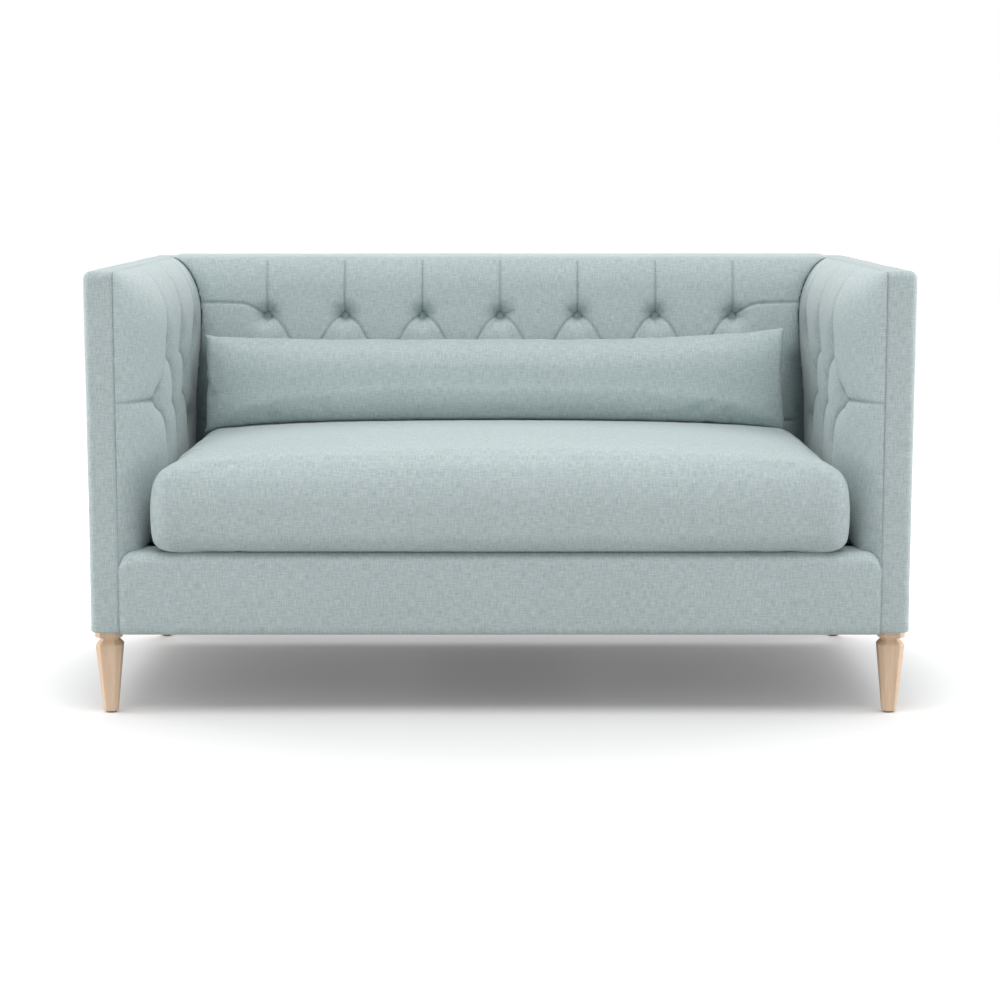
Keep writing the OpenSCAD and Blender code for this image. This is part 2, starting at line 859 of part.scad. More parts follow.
// Column and row lines of the inside back, denser where it falls away at the arms
back_step = back_half / 3;
back_row_step = back_row_pitch / 3;
puff_x = seam_x - arm_pad_t - 0.5;
back_inner_n = floor((puff_x - 10) / back_step);
back_xs = concat(
  [-seam_x + 0.5, -puff_x - 0.5, -puff_x],
  [for (i = [-back_inner_n:back_inner_n]) i * back_step],
  [puff_x, puff_x + 0.5, seam_x - 0.5]
);
pad_top_z = frame_top_z;
back_up_n = floor((pad_top_z - 8 - back_row_z) / back_row_step);
back_down_n = floor((back_row_z - deck_z - 8) / back_row_step);
back_zs = concat(
  [pad_top_z],
  [for (j = [back_up_n:-1:-back_down_n]) back_row_z + j * back_row_step],
  [deck_z]
);
quilt_rear_d = seam_d - quilt_t;

function back_puff_at(x, z) =
  let (
    p = [x, z],
    pleat = near_lines(p, back_pleats),
    button = near(p, back_points),
    top_fall = pow(smooth((arm_top_h - z) / 75), 0.6),
    side_fall = pow(smooth((puff_x - abs(x)) / 60), 0.5),
    puff = back_puff * (1 - 0.42 * exp(-pleat / 13)) * top_fall
      * (0.25 + 0.75 * side_fall) * (1 - exp(-pow(button / 34, 2))),
    pull = back_pull * exp(-pow(button / 18, 2))
  )
  abs(x) > puff_x + 0.25 ? 0 : puff - pull;

// True where a cell's pleat runs from its upper left to its lower right corner
function back_falls(x, z) =
  let (
    k = floor(x / back_half),
    row = z > back_row_height(0) ? 0 : z > back_row_height(1) ? 1 : 2
  )
  (abs(k) + row + (back_cols - 1) / 2) % 2 == 0;

module inside_back() {
  cells = [for (j = [0:len(back_zs) - 2]) [for (i = [0:len(back_xs) - 2])
    back_falls((back_xs[i] + back_xs[i + 1]) / 2, (back_zs[j] + back_zs[j + 1]) / 2)]];
  color(cloth_c)
    padded_panel(
      [for (z = back_zs) [for (x = back_xs) [x, rear_y(z) - seam_d - back_puff_at(x, z), z]]],
      [for (z = back_zs) [for (x = back_xs) [x, rear_y(z) - quilt_rear_d, z]]],
      cells
    );
}

// Straps stand between the button columns, so that the twines pass beside them
strap_xs = [for (side = [-1, 1], k = [0:2]) side * (k + 0.75) * back_pitch];
strap_zs = [
  back_row_height(0) + back_row_pitch / 2, back_row_height(0) - back_row_pitch / 2,
  back_row_height(1) - back_row_pitch / 2, back_row_height(2) - back_row_pitch
];
strap_d = frame_rear_d + strap_t;
back_sheet_d = strap_d + strap_t;
back_sheet_t = 0.8;
back_foam_d = back_sheet_d + back_sheet_t;

module back_webbing() {
  color(hessian_c)
    union() {
      for (x = strap_xs)
        raked_bar(x - strap_w / 2, x + strap_w / 2, frame_rear_d, strap_d,
          tuck_z + strap_edge, frame_top_z - strap_edge);
      for (z = strap_zs)
        raked_bar(-frame_in_x - strap_tail, frame_in_x + strap_tail, strap_d, back_sheet_d,
          z - strap_w / 2, z + strap_w / 2);
    }
}

module back_bores(d) {
  for (p = back_points)
    translate([p[0], rear_y(p[1]), p[1]])
      rotate([90, 0, 0])
        cylinder(d = d, h = seam_d, $fn = 24);
}

module back_hessian() {
  color(hessian_c)
    difference() {
      raked_bar(-deck_x, deck_x, back_sheet_d + fit, back_foam_d, deck_z, frame_top_z);
      back_bores(twine_d + 1);
    }
}

module back_foam() {
  color(foam_c)
    difference() {
      raked_bar(-deck_x, deck_x, back_foam_d, quilt_rear_d, deck_z, frame_top_z);
      back_bores(punch_d);
    }
}

// Plan and height lines of an inside arm, denser at its rolled front and top edges
arm_end_d = seam_d;
arm_step = arm_half / 4;
arm_lead_n = floor((arm_first - 40) / arm_step);
arm_run = base_d + (deck_z - leg_h) * rake - arm_end_d;
arm_run_n = floor((arm_run - arm_first - 8) / arm_step);
arm_us = concat(
  [0, 2, 8, 20],
  [for (i = [-arm_lead_n:arm_run_n]) arm_first + i * arm_step],
  [arm_run]
);
arm_row_step = arm_row_pitch / 3;
arm_up_n = floor((arm_top_h - 30 - arm_row_z) / arm_row_step);
arm_down_n = floor((arm_row_z - deck_z - 8) / arm_row_step);
arm_zs = concat(
  [arm_top_h - 1, arm_top_h - 3, arm_top_h - 9, arm_top_h - 20],
  [for (j = [arm_up_n:-1:-arm_down_n]) arm_row_z + j * arm_row_step],
  [deck_z]
);

function roll_in(t, p) = t >= 1 ? 1 : pow(1 - pow(1 - max(t, 0), 2.2), p);

// Depth of the arm padding, in from the seam plane, u back from the front and z up.
// A button is never pulled down as far as the foam.
function arm_depth(u, z) =
  let (
    p = [u, z],
    pleat = near_lines(p, arm_pleats),
    button = near(p, arm_points),
    low = smooth((arm_top_h - arm_roll_h - z) / (2 * arm_row_pitch)),
    rear = smooth((u - arm_first) / (2 * arm_pitch)),
    full = (arm_pad_t - arm_slim * low * rear) * roll_in(u / 220, 0.7)
      * roll_in((arm_top_h - z) / arm_roll_h, 0.6),
    pull = max(0, min(arm_pull, 0.84 * full - arm_foam_t - 3))
  )
  max(1, full * (1 - 0.16 * exp(-pleat / 12)) - pull * exp(-pow(button / 26, 2)));

// The columns lean back with height, so that the last one meets the inside back
function arm_y(u, z) =
  front_y + u + (z - deck_z) * rake * smooth(u / arm_run);

function arm_falls(u, z) =
  let (
    k = floor((u - arm_first) / arm_half + 40),
    row = z > arm_row_height(0) ? 1 : z > arm_row_height(1) ? 0 : 1
  )
  (k + row) % 2 == 0;

module arm_pad() {
  cells = [for (j = [0:len(arm_zs) - 2]) [for (i = [0:len(arm_us) - 2])
    arm_falls((arm_us[i] + arm_us[i + 1]) / 2, (arm_zs[j] + arm_zs[j + 1]) / 2)]];
  padded_panel(
    [for (z = arm_zs) [for (u = arm_us) [seam_x - arm_depth(u, z), arm_y(u, z), z]]],
    [for (z = arm_zs) [for (u = arm_us) [seam_x, arm_y(u, z), z]]],
    cells
  );
}

arm_foam_y0 = front_y + arm_foam_lead;
arm_foam_end = arm_end_d + arm_foam_edge;
arm_foam_z0 = deck_z + arm_foam_edge;
arm_foam_z1 = arm_top_h - arm_foam_drop;

module arm_foam_block(grow) {
  to_rake(seam_x - arm_foam_t - grow, seam_x + (grow > 0 ? 1 : 0), arm_foam_y0 - grow,
    arm_foam_end - grow, arm_foam_z0 - grow, arm_foam_z1 + grow);
}

function arm_button_y(p) = arm_y(p[0], p[1]);

module arm_twine_bores(d) {
  for (p = arm_points)
    translate([seam_x - arm_foam_t - 1, arm_button_y(p), p[1]])
      rotate([0, 90, 0])
        cylinder(d = d, h = arm_foam_t + board_t + 2, $fn = 24);
}

module inside_arm(side) {
  color(cloth_c)
    on_side(side)
      difference() {
        arm_pad();
        arm_foam_block(soft_gap);
      }
}

module arm_foam(side) {
  color(foam_c)
    on_side(side)
      difference() {
        arm_foam_block(0);
        arm_twine_bores(punch_d);
      }
}

// A covered button: a low dome on a thin rim, its back at z = 0, and a shank of the
// given length that reaches down into its dimple
dome_r = button_d * 0.7;

module button(shank) {
  drop = sqrt(dome_r * dome_r - button_d * button_d / 4);
  rotate_extrude($fn = 32)
    union() {
      translate([0, -shank]) square([twine_d * 0.75, shank + eps]);
      square([button_d / 2, button_t]);
      intersection() {
        translate([0, button_t - drop]) circle(r = dome_r, $fn = 64);
        translate([0, button_t - eps]) square([button_d / 2, dome_r]);
      }
    }
}

// A button rests on the slopes round its dimple: its rim stands clear of the steepest
// line from the dimple's bottom to the next points of the panel's grid.
shank_gap = 2;

function rest_height(slope) = 0.4 + slope * button_d / 2;

function back_slope(p, dx, dz) =
  (back_puff_at(p[0] + dx, p[1] + dz) - back_puff_at(p[0], p[1])) / norm([dx, dz])
    + (dz == 0 ? 0 : rake);

function back_lift(p) = rest_height(1.13 * max(
  back_slope(p, back_step, 0), back_slope(p, -back_step, 0),
  back_slope(p, 0, back_row_step), back_slope(p, 0, -back_row_step)
));

function arm_slope(p, du, dz) =
  (arm_depth(p[0] + du, p[1] + dz) - arm_depth(p[0], p[1])) / norm([du, dz]);

function arm_lift(p) = rest_height(norm([
  max(arm_slope(p, arm_step, 0), arm_slope(p, -arm_step, 0)),
  max(arm_slope(p, 0, arm_row_step), arm_slope(p, 0, -arm_row_step))
]));

module back_buttons() {
  color(cloth_c)
    for (p = back_points)
      translate([
        p[0], rear_y(p[1]) - seam_d - back_puff_at(p[0], p[1]) - back_lift(p), p[1]
      ])
        rotate([90, 0, 0])
          button(back_lift(p) - shank_gap);
}

module arm_buttons() {
  color(cloth_c)
    for (side = [-1, 1])
      on_side(side)
        for (p = arm_points)
          translate([seam_x - arm_depth(p[0], p[1]) - arm_lift(p), arm_button_y(p), p[1]])
            rotate([0, -90, 0])
              button(arm_lift(p) - shank_gap);
}

module button_twines() {
  back_twine_l = quilt_rear_d - back_sheet_d;
  color(hessian_c) {
    for (p = back_points)
      translate([p[0], rear_y(p[1]) - quilt_rear_d, p[1]])
        rotate([-90, 0, 0]) {
          cylinder(d = twine_d, h = back_twine_l + 1, $fn = 24);
          translate([0, 0, back_twine_l + fit])
            rotate([-rake_a, 0, 0])
              cylinder(d = toggle_d, h = toggle_t, $fn = 32);
        }
    for (side = [-1, 1])
      on_side(side)
        for (p = arm_points)
          translate([seam_x - arm_foam_t, arm_button_y(p), p[1]])
            rotate([0, 90, 0]) {
              cylinder(d = twine_d, h = arm_foam_t + board_t + 1, $fn = 24);
              translate([0, 0, arm_foam_t + board_t])
                cylinder(d = toggle_d, h = toggle_t, $fn = 32);
            }
  }
}

module dust_cover() {
  y0 = front_y + wrap_w;
  y1 = rear_y(leg_h) - wrap_w;
  x1 = half_w - wrap_w;
  clear = leg_collar_w / 2 + 1;
  color(lining_c)
    difference() {
      box(-x1, x1, y0, y1, leg_h - 1, leg_h);
      for (side = [-1, 1])
        on_side(side) {
          box(post_x - clear, half_w, front_y, leg_front_y + clear, leg_h - 2, leg_h + 1);
          box(post_x - clear, half_w, leg_rear_y - clear, overall_d, leg_h - 2, leg_h + 1);
        }
    }
}

// A leg: chamfered-square sections stacked up from the foot, each [height, width]
leg_shoulder_z = leg_h - leg_head_h;
leg_levels = [
  [glide_t, leg_foot_w],
  [leg_shoulder_z, leg_shoulder_w],
  [leg_shoulder_z + 0.2 * leg_head_h, leg_shoulder_w - 2],
  [leg_shoulder_z + 0.38 * leg_head_h, leg_neck_w + 3],
  [leg_shoulder_z + 0.5 * leg_head_h, leg_neck_w],
  [leg_shoulder_z + 0.6 * leg_head_h, leg_neck_w + 2],
  [leg_shoulder_z + 0.7 * leg_head_h, leg_collar_w - 4],
  [leg_shoulder_z + 0.76 * leg_head_h, leg_collar_w],
  [leg_h, leg_collar_w]
];

function leg_ring(z, w) =
  let (a = w / 2, b = 0.3 * w)
  [[a, -b, z], [a, b, z], [b, a, z], [-b, a, z], [-a, b, z], [-a, -b, z], [-b, -a, z], [b, -a, z]];

module leg(x, y) {
  n = len(leg_levels);
  points = [for (level = leg_levels) each leg_ring(level[0], level[1])];
  walls = [for (i = [0:n - 2], k = [0:7])
    let (a = i * 8 + k, b = i * 8 + (k + 1) % 8)
    each [[a, b + 8, b], [a, a + 8, b + 8]]];
  caps = [for (k = [1:6]) each [[0, k, k + 1], [n * 8 - 8, n * 8 - 8 + k + 1, n * 8 - 8 + k]]];
  color(beech_c)
    difference() {
      translate([x, y, 0]) polyhedron(points = points, faces = concat(walls, caps));
      translate([x, y, leg_h - bolt_reach - 2])
        cylinder(d = bolt_d + 2 * fit, h = bolt_reach + 3, $fn = 32);
    }
}

module at_legs() {
  for (x = [-post_x, post_x], y = [leg_front_y, leg_rear_y])
    translate([x, y, 0]) children();
}

module leg_bolts() {
  color(steel_c)
    at_legs()
      translate([0, 0, leg_h - bolt_reach])
        cylinder(d = bolt_d, h = 2 * bolt_reach, $fn = 32);
}

module leg_inserts() {
  color(steel_c)
    at_legs()
      translate([0, 0, leg_h])
        difference() {
          cylinder(d = insert_d, h = insert_l, $fn = 32);
          translate([0, 0, -1]) cylinder(d = bolt_d + 2 * fit, h = insert_l + 2, $fn = 32);
        }
}

module foot_glides() {
  color(nylon_c)
    at_legs()
      rotate_extrude($fn = 48)
        polygon([[0, 0], [glide_d / 2 - 1, 0], [glide_d / 2, 1], [glide_d / 2, glide_t], [0, glide_t]]);
}

// The seat cushion. Rings run round its plan, from the underside over the widest line
// to the crown; inset is how far a ring lies in from the widest line.
cushion_z0 = deck_z + soft_gap;
cushion_mid_z = cushion_z0 + cushion_mid_h;
cushion_y0 = front_y - cushion_proud;
cushion_y1 = rear_y(deck_z) - seam_d - back_puff - cushion_back_gap;
cushion_cy = (cushion_y0 + cushion_y1) / 2;
cushion_b = (cushion_y1 - cushion_y0) / 2;
cushion_a = min(cushion_front_half, seam_x - arm_pad_t - cushion_side_gap + cushion_draw_in);
cushion_side_half = seam_x - arm_pad_t - cushion_side_gap;

// Half width of the cushion at y: full at the front corners, drawn in between the arms
function cushion_half(y) =
  let (t = (y - front_y - 15) / 62)
  cushion_side_half + (cushion_a - cushion_side_half) * exp(-t * t);

function corner_run(cx, cy, r, a0) =
  [for (k = [0:4]) let (a = a0 + 22.5 * k) [cx + r * cos(a), cy + r * sin(a)]];

function between(p, q, n) = [for (k = [1:n - 1]) p + (q - p) * k / n];

// A rounded rectangle, its corners in turn and points along each edge between them
function ring_plan(a, b, r) =
  let (
    se = corner_run(a - r, r - b, r, -90),
    ne = corner_run(a - r, b - r, r, 0),
    nw = corner_run(r - a, b - r, r, 90),
    sw = corner_run(r - a, r - b, r, 180)
  )
  concat(
    se, between(se[4], ne[0], 5), ne, between(ne[4], nw[0], 9),
    nw, between(nw[4], sw[0], 5), sw, between(sw[4], se[0], 9)
  );

function edge_line(x) =
  let (t = min(1, abs(x) / cushion_a)) cushion_corner_h + cushion_edge_rise * (1 - pow(t, 8));
function dome_share(t) = pow(1 - pow(min(1, abs(t)), 2.4), 0.7);
function crown_rise(x, y) =
  cushion_crown * dome_share(x / cushion_half(y)) * dome_share((y - cushion_cy) / cushion_b);

// Each ring is [inset, height rule, value]: rule 0 is a height over the underside, rule 1
// a share of the way up to the top edge, rule 2 the crown
cushion_rings = [
  [250, 0, 0], [120, 0, 0], [56, 0, 0.6], [24, 0, 5], [9, 0, 14], [3, 0, 32],
  [0, 1, 0.55], [1, 1, 0.8], [4, 2, -0.12], [14, 2, 0], [34, 2, 0], [72, 2, 0],
  [130, 2, 0], [200, 2, 0], [270, 2, 0]
];

function ring_z(ring, x, y) =
  ring[1] == 0 ? ring[2]
  : ring[1] == 1 ? ring[2] * edge_line(x)
  : edge_line(x) + crown_rise(x, y) + ring[2] * cushion_edge_rise;

function cushion_ring(ring) =
  let (r = max(4, cushion_r - 0.6 * ring[0]))
  [for (p = ring_plan(cushion_a - ring[0], cushion_b - ring[0], r))
    let (y = cushion_cy + p[1], x = p[0] * cushion_half(y) / cushion_a)
    [x, y, cushion_z0 + ring_z(ring, x, y)]];

// Height of the cushion's top over a point well inside its rim
function cushion_top(x, y) = cushion_z0 + edge_line(x) + crown_rise(x, y);

module ring_solid(rings) {
  n = len(rings[0]);
  m = len(rings);
  centre_low = [0, cushion_cy, rings[0][0][2]];
  top_mid = max([for (p = rings[m - 1]) p[2]]);
  points = concat([for (ring = rings) each ring], [centre_low], [[0, cushion_cy, top_mid + 1]]);
  walls = [for (j = [0:m - 2], k = [0:n - 1])
    let (a = j * n + k, b = j * n + (k + 1) % n, c = a + n, d = b + n)
    each [[a, d, b], [a, c, d]]];
  caps = [for (k = [0:n - 1])
    let (b = (k + 1) % n)
    each [[n * m, k, b], [n * m + 1, (m - 1) * n + b, (m - 1) * n + k]]];
  polyhedron(points = points, faces = concat(walls, caps), convexity = 6);
}

// The seat foam: a block whose top is crowned both ways
foam_z0 = cushion_z0 + 8;
foam_edge_z = cushion_z0 + cushion_corner_h + 8;
foam_top_z = cushion_z0 + cushion_corner_h + cushion_edge_rise + cushion_crown - 22;
foam_half = cushion_side_half - foam_margin;
foam_y0 = cushion_y0 + foam_margin;
foam_y1 = cushion_y1 - foam_margin;

function arc_radius(half, rise) = (half * half + rise * rise) / (2 * rise);

module foam_block(grow) {
  rise = foam_top_z - foam_edge_z;
  half_y = (foam_y1 - foam_y0) / 2;
  rx = arc_radius(foam_half, rise);
  ry = arc_radius(half_y, rise);
  intersection() {
    box(-foam_half - grow, foam_half + grow, foam_y0 - grow, foam_y1 + grow,
      foam_z0 - grow, foam_top_z + 20);
    translate([0, cushion_cy, foam_top_z - rx])
      rotate([90, 0, 0])
        cylinder(r = rx + grow, h = 2 * overall_d, center = true, $fn = 360);
    translate([0, (foam_y0 + foam_y1) / 2, foam_top_z - ry])
      rotate([0, 90, 0])
        cylinder(r = ry + grow, h = 2 * overall_w, center = true, $fn = 360);
  }
}

seat_zip_z = cushion_mid_z;

module seat_cushion_cover() {
  color(cloth_c)
    difference() {
      ring_solid([for (ring = cushion_rings) cushion_ring(ring)]);
      foam_block(soft_gap);
      box(-seat_zip_l / 2, seat_zip_l / 2, foam_y1 - 1, cushion_y1 + 1,
        seat_zip_z - zip_tape_w / 2 - fit, seat_zip_z + zip_tape_w / 2 + fit);
    }
}

module seat_foam() {
  color(foam_c) foam_block(0);
}

// A zip along X in the plane y = 0, facing +Y: tape and coil, and the slider that
// straddles the coil with its pull hanging down
module zip(l) {
  box(-l / 2, l / 2, -zip_tape_t, 0, -zip_tape_w / 2, zip_tape_w / 2);
  box(-l / 2, l / 2, -eps, zip_coil_t, -zip_coil_w / 2, zip_coil_w / 2);
}

slider_l = 12;
slider_w = 9;
slider_gap = 0.4;
slider_t = zip_coil_t + slider_gap + 1.4;
pull_w = 6;
pull_l = 22;

module slider() {
  difference() {
    union() {
      box(-slider_l / 2, slider_l / 2, slider_gap, slider_t, -slider_w / 2, slider_w / 2);
      difference() {
        union() {
          box(-pull_w / 2, pull_w / 2, slider_t - 1, slider_t + 0.4, -pull_l, 0);
          translate([0, slider_t - 1, -pull_l])
            rotate([-90, 0, 0])
              cylinder(d = pull_w, h = 1.4, $fn = 32);
        }
        translate([0, slider_t - 2, -pull_l])
          rotate([-90, 0, 0])
            cylinder(d = pull_w / 2, h = 4, $fn = 32);
      }
    }
    box(-slider_l, slider_l, -1, zip_coil_t + slider_gap,
      -zip_coil_w / 2 - slider_gap, zip_coil_w / 2 + slider_gap);
  }
}

seat_zip_y = cushion_y1 - 2;
seat_slider_x = seat_zip_l / 2 - slider_l;

module seat_zip() {
  color(lining_c) translate([0, seat_zip_y, seat_zip_z]) zip(seat_zip_l - 2 * fit);
}

module seat_zip_slider() {
  color(steel_c) translate([seat_slider_x, seat_zip_y, seat_zip_z]) slider();
}

// The lumbar pillow: two puffed panels that meet in a knife edge, with raised corners.
// It leans like the back, and its lower edge follows the crown of the seat cushion.
pillow_half = pillow_l / 2;
pillow_seat_y = rear_y(cushion_top(0, cushion_cy)) - seam_d - back_puff - pillow_gap
  - pillow_half_t;
pillow_cols = 24;
pillow_rows = 8;

function pillow_low(x) = cushion_top(x, pillow_seat_y) + 2 * soft_gap;
pillow_mid_low = pillow_low(-pillow_off);
function pillow_high(u) = pillow_mid_low + pillow_h + pillow_ear * pow(abs(u), 6);
function pillow_y(z) = pillow_seat_y + (z - pillow_mid_low) * rake;
function pillow_draw(u, v) = pillow_half * u * (1 - 0.012 * (1 - v * v) * abs(u)) - pillow_off;
function pillow_t(u, v) =
  pillow_half_t * pow(max(0, 1 - pow(abs(u), 5)), 0.55) * pow(max(0, 1 - v * v), 0.62);

function pillow_point(i, j, face) =
  let (
    u = -cos(180 * i / pillow_cols),
    v = -cos(180 * j / pillow_rows),
    x = pillow_draw(u, v),
    z0 = pillow_low(x),
    z = z0 + (pillow_high(u) - z0) * (v + 1) / 2
  )
  [x, pillow_y(z) - face * pillow_t(u, v), z];

module pillow_form() {
  cols = pillow_cols + 1;
  rows = pillow_rows + 1;
  n = cols * rows;
  points = concat(
    [for (j = [0:rows - 1], i = [0:cols - 1]) pillow_point(i, j, 1)],
    [for (j = [0:rows - 1], i = [0:cols - 1]) pillow_point(i, j, -1)]
  );
  inner = function (k) let (i = k % cols, j = floor(k / cols))
    i > 0 && i < cols - 1 && j > 0 && j < rows - 1;
  rear = function (k) inner(k) ? k + n : k;
  fronts = [for (j = [0:rows - 2], i = [0:cols - 2])
    let (a = j * cols + i, b = a + 1, c = a + cols, d = c + 1)
    each (2 * i + 2 < cols) == (2 * j + 2 < rows)
      ? [[a, d, b], [a, c, d]]
      : [[a, c, b], [b, c, d]]];
  faces = concat(fronts, [for (f = fronts) [rear(f[0]), rear(f[2]), rear(f[1])]]);
  polyhedron(points = points, faces = faces, convexity = 4);
}

// The pillow's inner pad is a long lens, leaning with the pillow
insert_half_l = 0.78 * pillow_half;
insert_half_h = 0.40 * pillow_h;
insert_half_t = 0.55 * pillow_half_t;
insert_z = pillow_mid_low + pillow_h / 2;

module lens_block(grow) {
  r = arc_radius(insert_half_h, insert_half_t);
  translate([-pillow_off, pillow_y(insert_z), insert_z])
    rotate([-rake_a, 0, 0])
      intersection() {
        translate([0, r - insert_half_t, 0])
          rotate([0, 90, 0])
            cylinder(r = r + grow, h = 2 * (insert_half_l + grow), center = true, $fn = 180);
        translate([0, insert_half_t - r, 0])
          rotate([0, 90, 0])
            cylinder(r = r + grow, h = 2 * (insert_half_l + grow), center = true, $fn = 180);
      }
}

// The zip lies in the third strip of facets up the pillow's rear and slopes with it
pillow_zip_low = pillow_point(pillow_cols / 2, 2, -1);
pillow_zip_high = pillow_point(pillow_cols / 2, 3, -1);
pillow_zip_slope = atan2(pillow_zip_high[1] - pillow_zip_low[1], pillow_zip_high[2] - pillow_zip_low[2]);
pillow_slider_x = pillow_zip_l / 2 - slider_l;

module at_pillow_zip() {
  translate((pillow_zip_low + pillow_zip_high) / 2)
    rotate([-pillow_zip_slope, 0, 0])
      translate([0, -2, 0]) children();
}

module pillow_cover() {
  color(cloth_c)
    difference() {
      pillow_form();
      lens_block(soft_gap);
      at_pillow_zip()
        box(-pillow_zip_l / 2, pillow_zip_l / 2, -zip_tape_t - pillow_half_t / 2, 12,
          -zip_tape_w / 2 - fit, zip_tape_w / 2 + fit);
    }
}

module pillow_insert() {
  color(foam_c) lens_block(0);
}

module pillow_zip() {
  color(lining_c) at_pillow_zip() zip(pillow_zip_l - 2 * fit);
}

module pillow_zip_slider() {
  color(steel_c) at_pillow_zip() translate([pillow_slider_x, 0, 0]) slider();
}

front_rail();
rear_rail();
side_rail(-1);  // side_rail_left
side_rail(1);  // side_rail_right
centre_stretcher();
arm_post(-1);  // arm_post_left
arm_post(1);  // arm_post_right
back_post(-1);  // back_post_left
back_post(1);  // back_post_right
arm_top_rail(-1);  // arm_top_rail_left
arm_top_rail(1);  // arm_top_rail_right
arm_tuck_rail(-1);  // arm_tuck_rail_left
arm_tuck_rail(1);  // arm_tuck_rail_right
back_top_rail();
back_tuck_rail();
back_brace();
corner_blocks();
frame_dowels();
arm_board(-1);  // arm_board_left
arm_board(1);  // arm_board_right
seat_springs();
spring_clips();
deck_hessian();
deck_pad();
deck_cloth();
front_band();
back_webbing();
back_hessian();
back_foam();
inside_back();
back_buttons();
arm_foam(-1);  // arm_foam_left
arm_foam(1);  // arm_foam_right
inside_arm(-1);  // inside_arm_left
inside_arm(1);  // inside_arm_right
arm_buttons();
button_twines();
arm_border(-1);  // arm_border_left
arm_border(1);  // arm_border_right
outside_arm(-1);  // outside_arm_left
outside_arm(1);  // outside_arm_right
back_top_band();
outside_back();
dust_cover();
leg(-post_x, leg_front_y);  // leg_front_left
leg(post_x, leg_front_y);  // leg_front_right
leg(-post_x, leg_rear_y);  // leg_rear_left
leg(post_x, leg_rear_y);  // leg_rear_right
leg_bolts();
leg_inserts();
foot_glides();
seat_cushion_cover();
seat_foam();
seat_zip();
seat_zip_slider();
pillow_cover();
pillow_insert();
pillow_zip();
pillow_zip_slider();
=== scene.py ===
import bpy
import bmesh
import json
import math
import numpy as np
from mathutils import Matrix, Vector, noise
from mathutils.bvhtree import BVHTree
from mathutils.kdtree import KDTree


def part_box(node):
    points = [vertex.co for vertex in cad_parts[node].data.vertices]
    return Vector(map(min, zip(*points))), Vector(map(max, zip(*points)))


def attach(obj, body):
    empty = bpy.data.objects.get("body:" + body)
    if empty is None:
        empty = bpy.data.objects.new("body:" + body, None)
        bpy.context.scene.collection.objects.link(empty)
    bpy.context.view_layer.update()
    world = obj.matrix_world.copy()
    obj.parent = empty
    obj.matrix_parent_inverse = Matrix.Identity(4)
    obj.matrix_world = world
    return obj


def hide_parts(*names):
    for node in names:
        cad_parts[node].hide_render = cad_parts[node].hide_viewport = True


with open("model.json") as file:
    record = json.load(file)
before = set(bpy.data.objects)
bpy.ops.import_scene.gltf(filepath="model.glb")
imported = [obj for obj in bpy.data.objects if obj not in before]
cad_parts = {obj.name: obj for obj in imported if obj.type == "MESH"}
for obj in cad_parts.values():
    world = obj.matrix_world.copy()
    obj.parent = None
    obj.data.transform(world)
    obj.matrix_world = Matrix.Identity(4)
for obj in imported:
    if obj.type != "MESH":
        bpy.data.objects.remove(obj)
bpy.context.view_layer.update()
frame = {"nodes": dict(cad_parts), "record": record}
print("frame loaded:", len(frame["nodes"]), "nodes")

# the body's own sizes, in metres, read off the frame's nodes
borderLow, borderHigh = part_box("arm_border_right")
sofa = {
    "halfWidth": borderHigh.x,
    "seamX": borderLow.x,
    "frontY": borderLow.y,
    "top": borderHigh.z,
    "bottom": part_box("outside_back")[0].z,
    "deck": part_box("deck_cloth")[1].z,
    "baseDepth": 0.830,
    "rake": 0.090 / 0.668,
    "corner": 0.014,
    "seamDepth": 0.155,
}


def rearY(z):
    return sofa["frontY"] + sofa["baseDepth"] + (z - sofa["bottom"]) * sofa["rake"]


def smoothStep(t):
    c = np.clip(t, 0, 1)
    return c * c * (3 - 2 * c)


# camera and stage
def makeCamera():
    view = {"lens": 85, "pitch": 7.79, "distance": 4.3036, "height": 0.9959}
    data = bpy.data.cameras.new("camera")
    data.lens = view["lens"]
    data.sensor_width = 36
    camera = bpy.data.objects.new("camera", data)
    camera.location = (0, sofa["frontY"] - view["distance"], view["height"])
    camera.rotation_euler = (math.radians(90 - view["pitch"]), 0, 0)
    bpy.context.scene.collection.objects.link(camera)
    bpy.context.scene.camera = camera


makeCamera()


# mesh helpers
def makePiece(name, points, faces, material=None, smooth=True):
    mesh = bpy.data.meshes.new(name)
    mesh.from_pydata([tuple(p) for p in points], [], [tuple(f) for f in faces])
    mesh.validate()
    piece = bpy.data.objects.new(name, mesh)
    bpy.context.scene.collection.objects.link(piece)
    if smooth:
        mesh.polygons.foreach_set("use_smooth", [True] * len(mesh.polygons))
    if material:
        mesh.materials.append(material)
    return piece


def gridFaces(rows, cols, flip=False):
    j, i = np.meshgrid(np.arange(rows - 1), np.arange(cols - 1), indexing="ij")
    a = (j * cols + i).ravel()
    quads = np.stack([a, a + 1, a + 1 + cols, a + cols], axis=1)
    return (quads[:, ::-1] if flip else quads).tolist()


def applyModifier(piece, modifier):
    bpy.context.view_layer.objects.active = piece
    for other in bpy.context.selected_objects:
        other.select_set(False)
    piece.select_set(True)
    bpy.ops.object.modifier_apply(modifier=modifier.name)


def ringFaces(count, n):
    # the sides between rings of n points
    faces = []
    for k in range(count - 1):
        for i in range(n):
            a, b = k * n + i, k * n + (i + 1) % n
            faces.append([a, b, b + n, a + n])
    return faces


def poleFaces(count, n):
    # fans that close such a stack, on the two points that follow its rings
    top = (count - 1) * n
    faces = []
    for i in range(n):
        faces.append([count * n, (i + 1) % n, i])
        faces.append([count * n + 1, top + i, top + (i + 1) % n])
    return faces


def thicken(piece, thick, offset=-1):
    solid = piece.modifiers.new("thickness", "SOLIDIFY")
    solid.thickness = thick
    solid.offset = offset
    applyModifier(piece, solid)


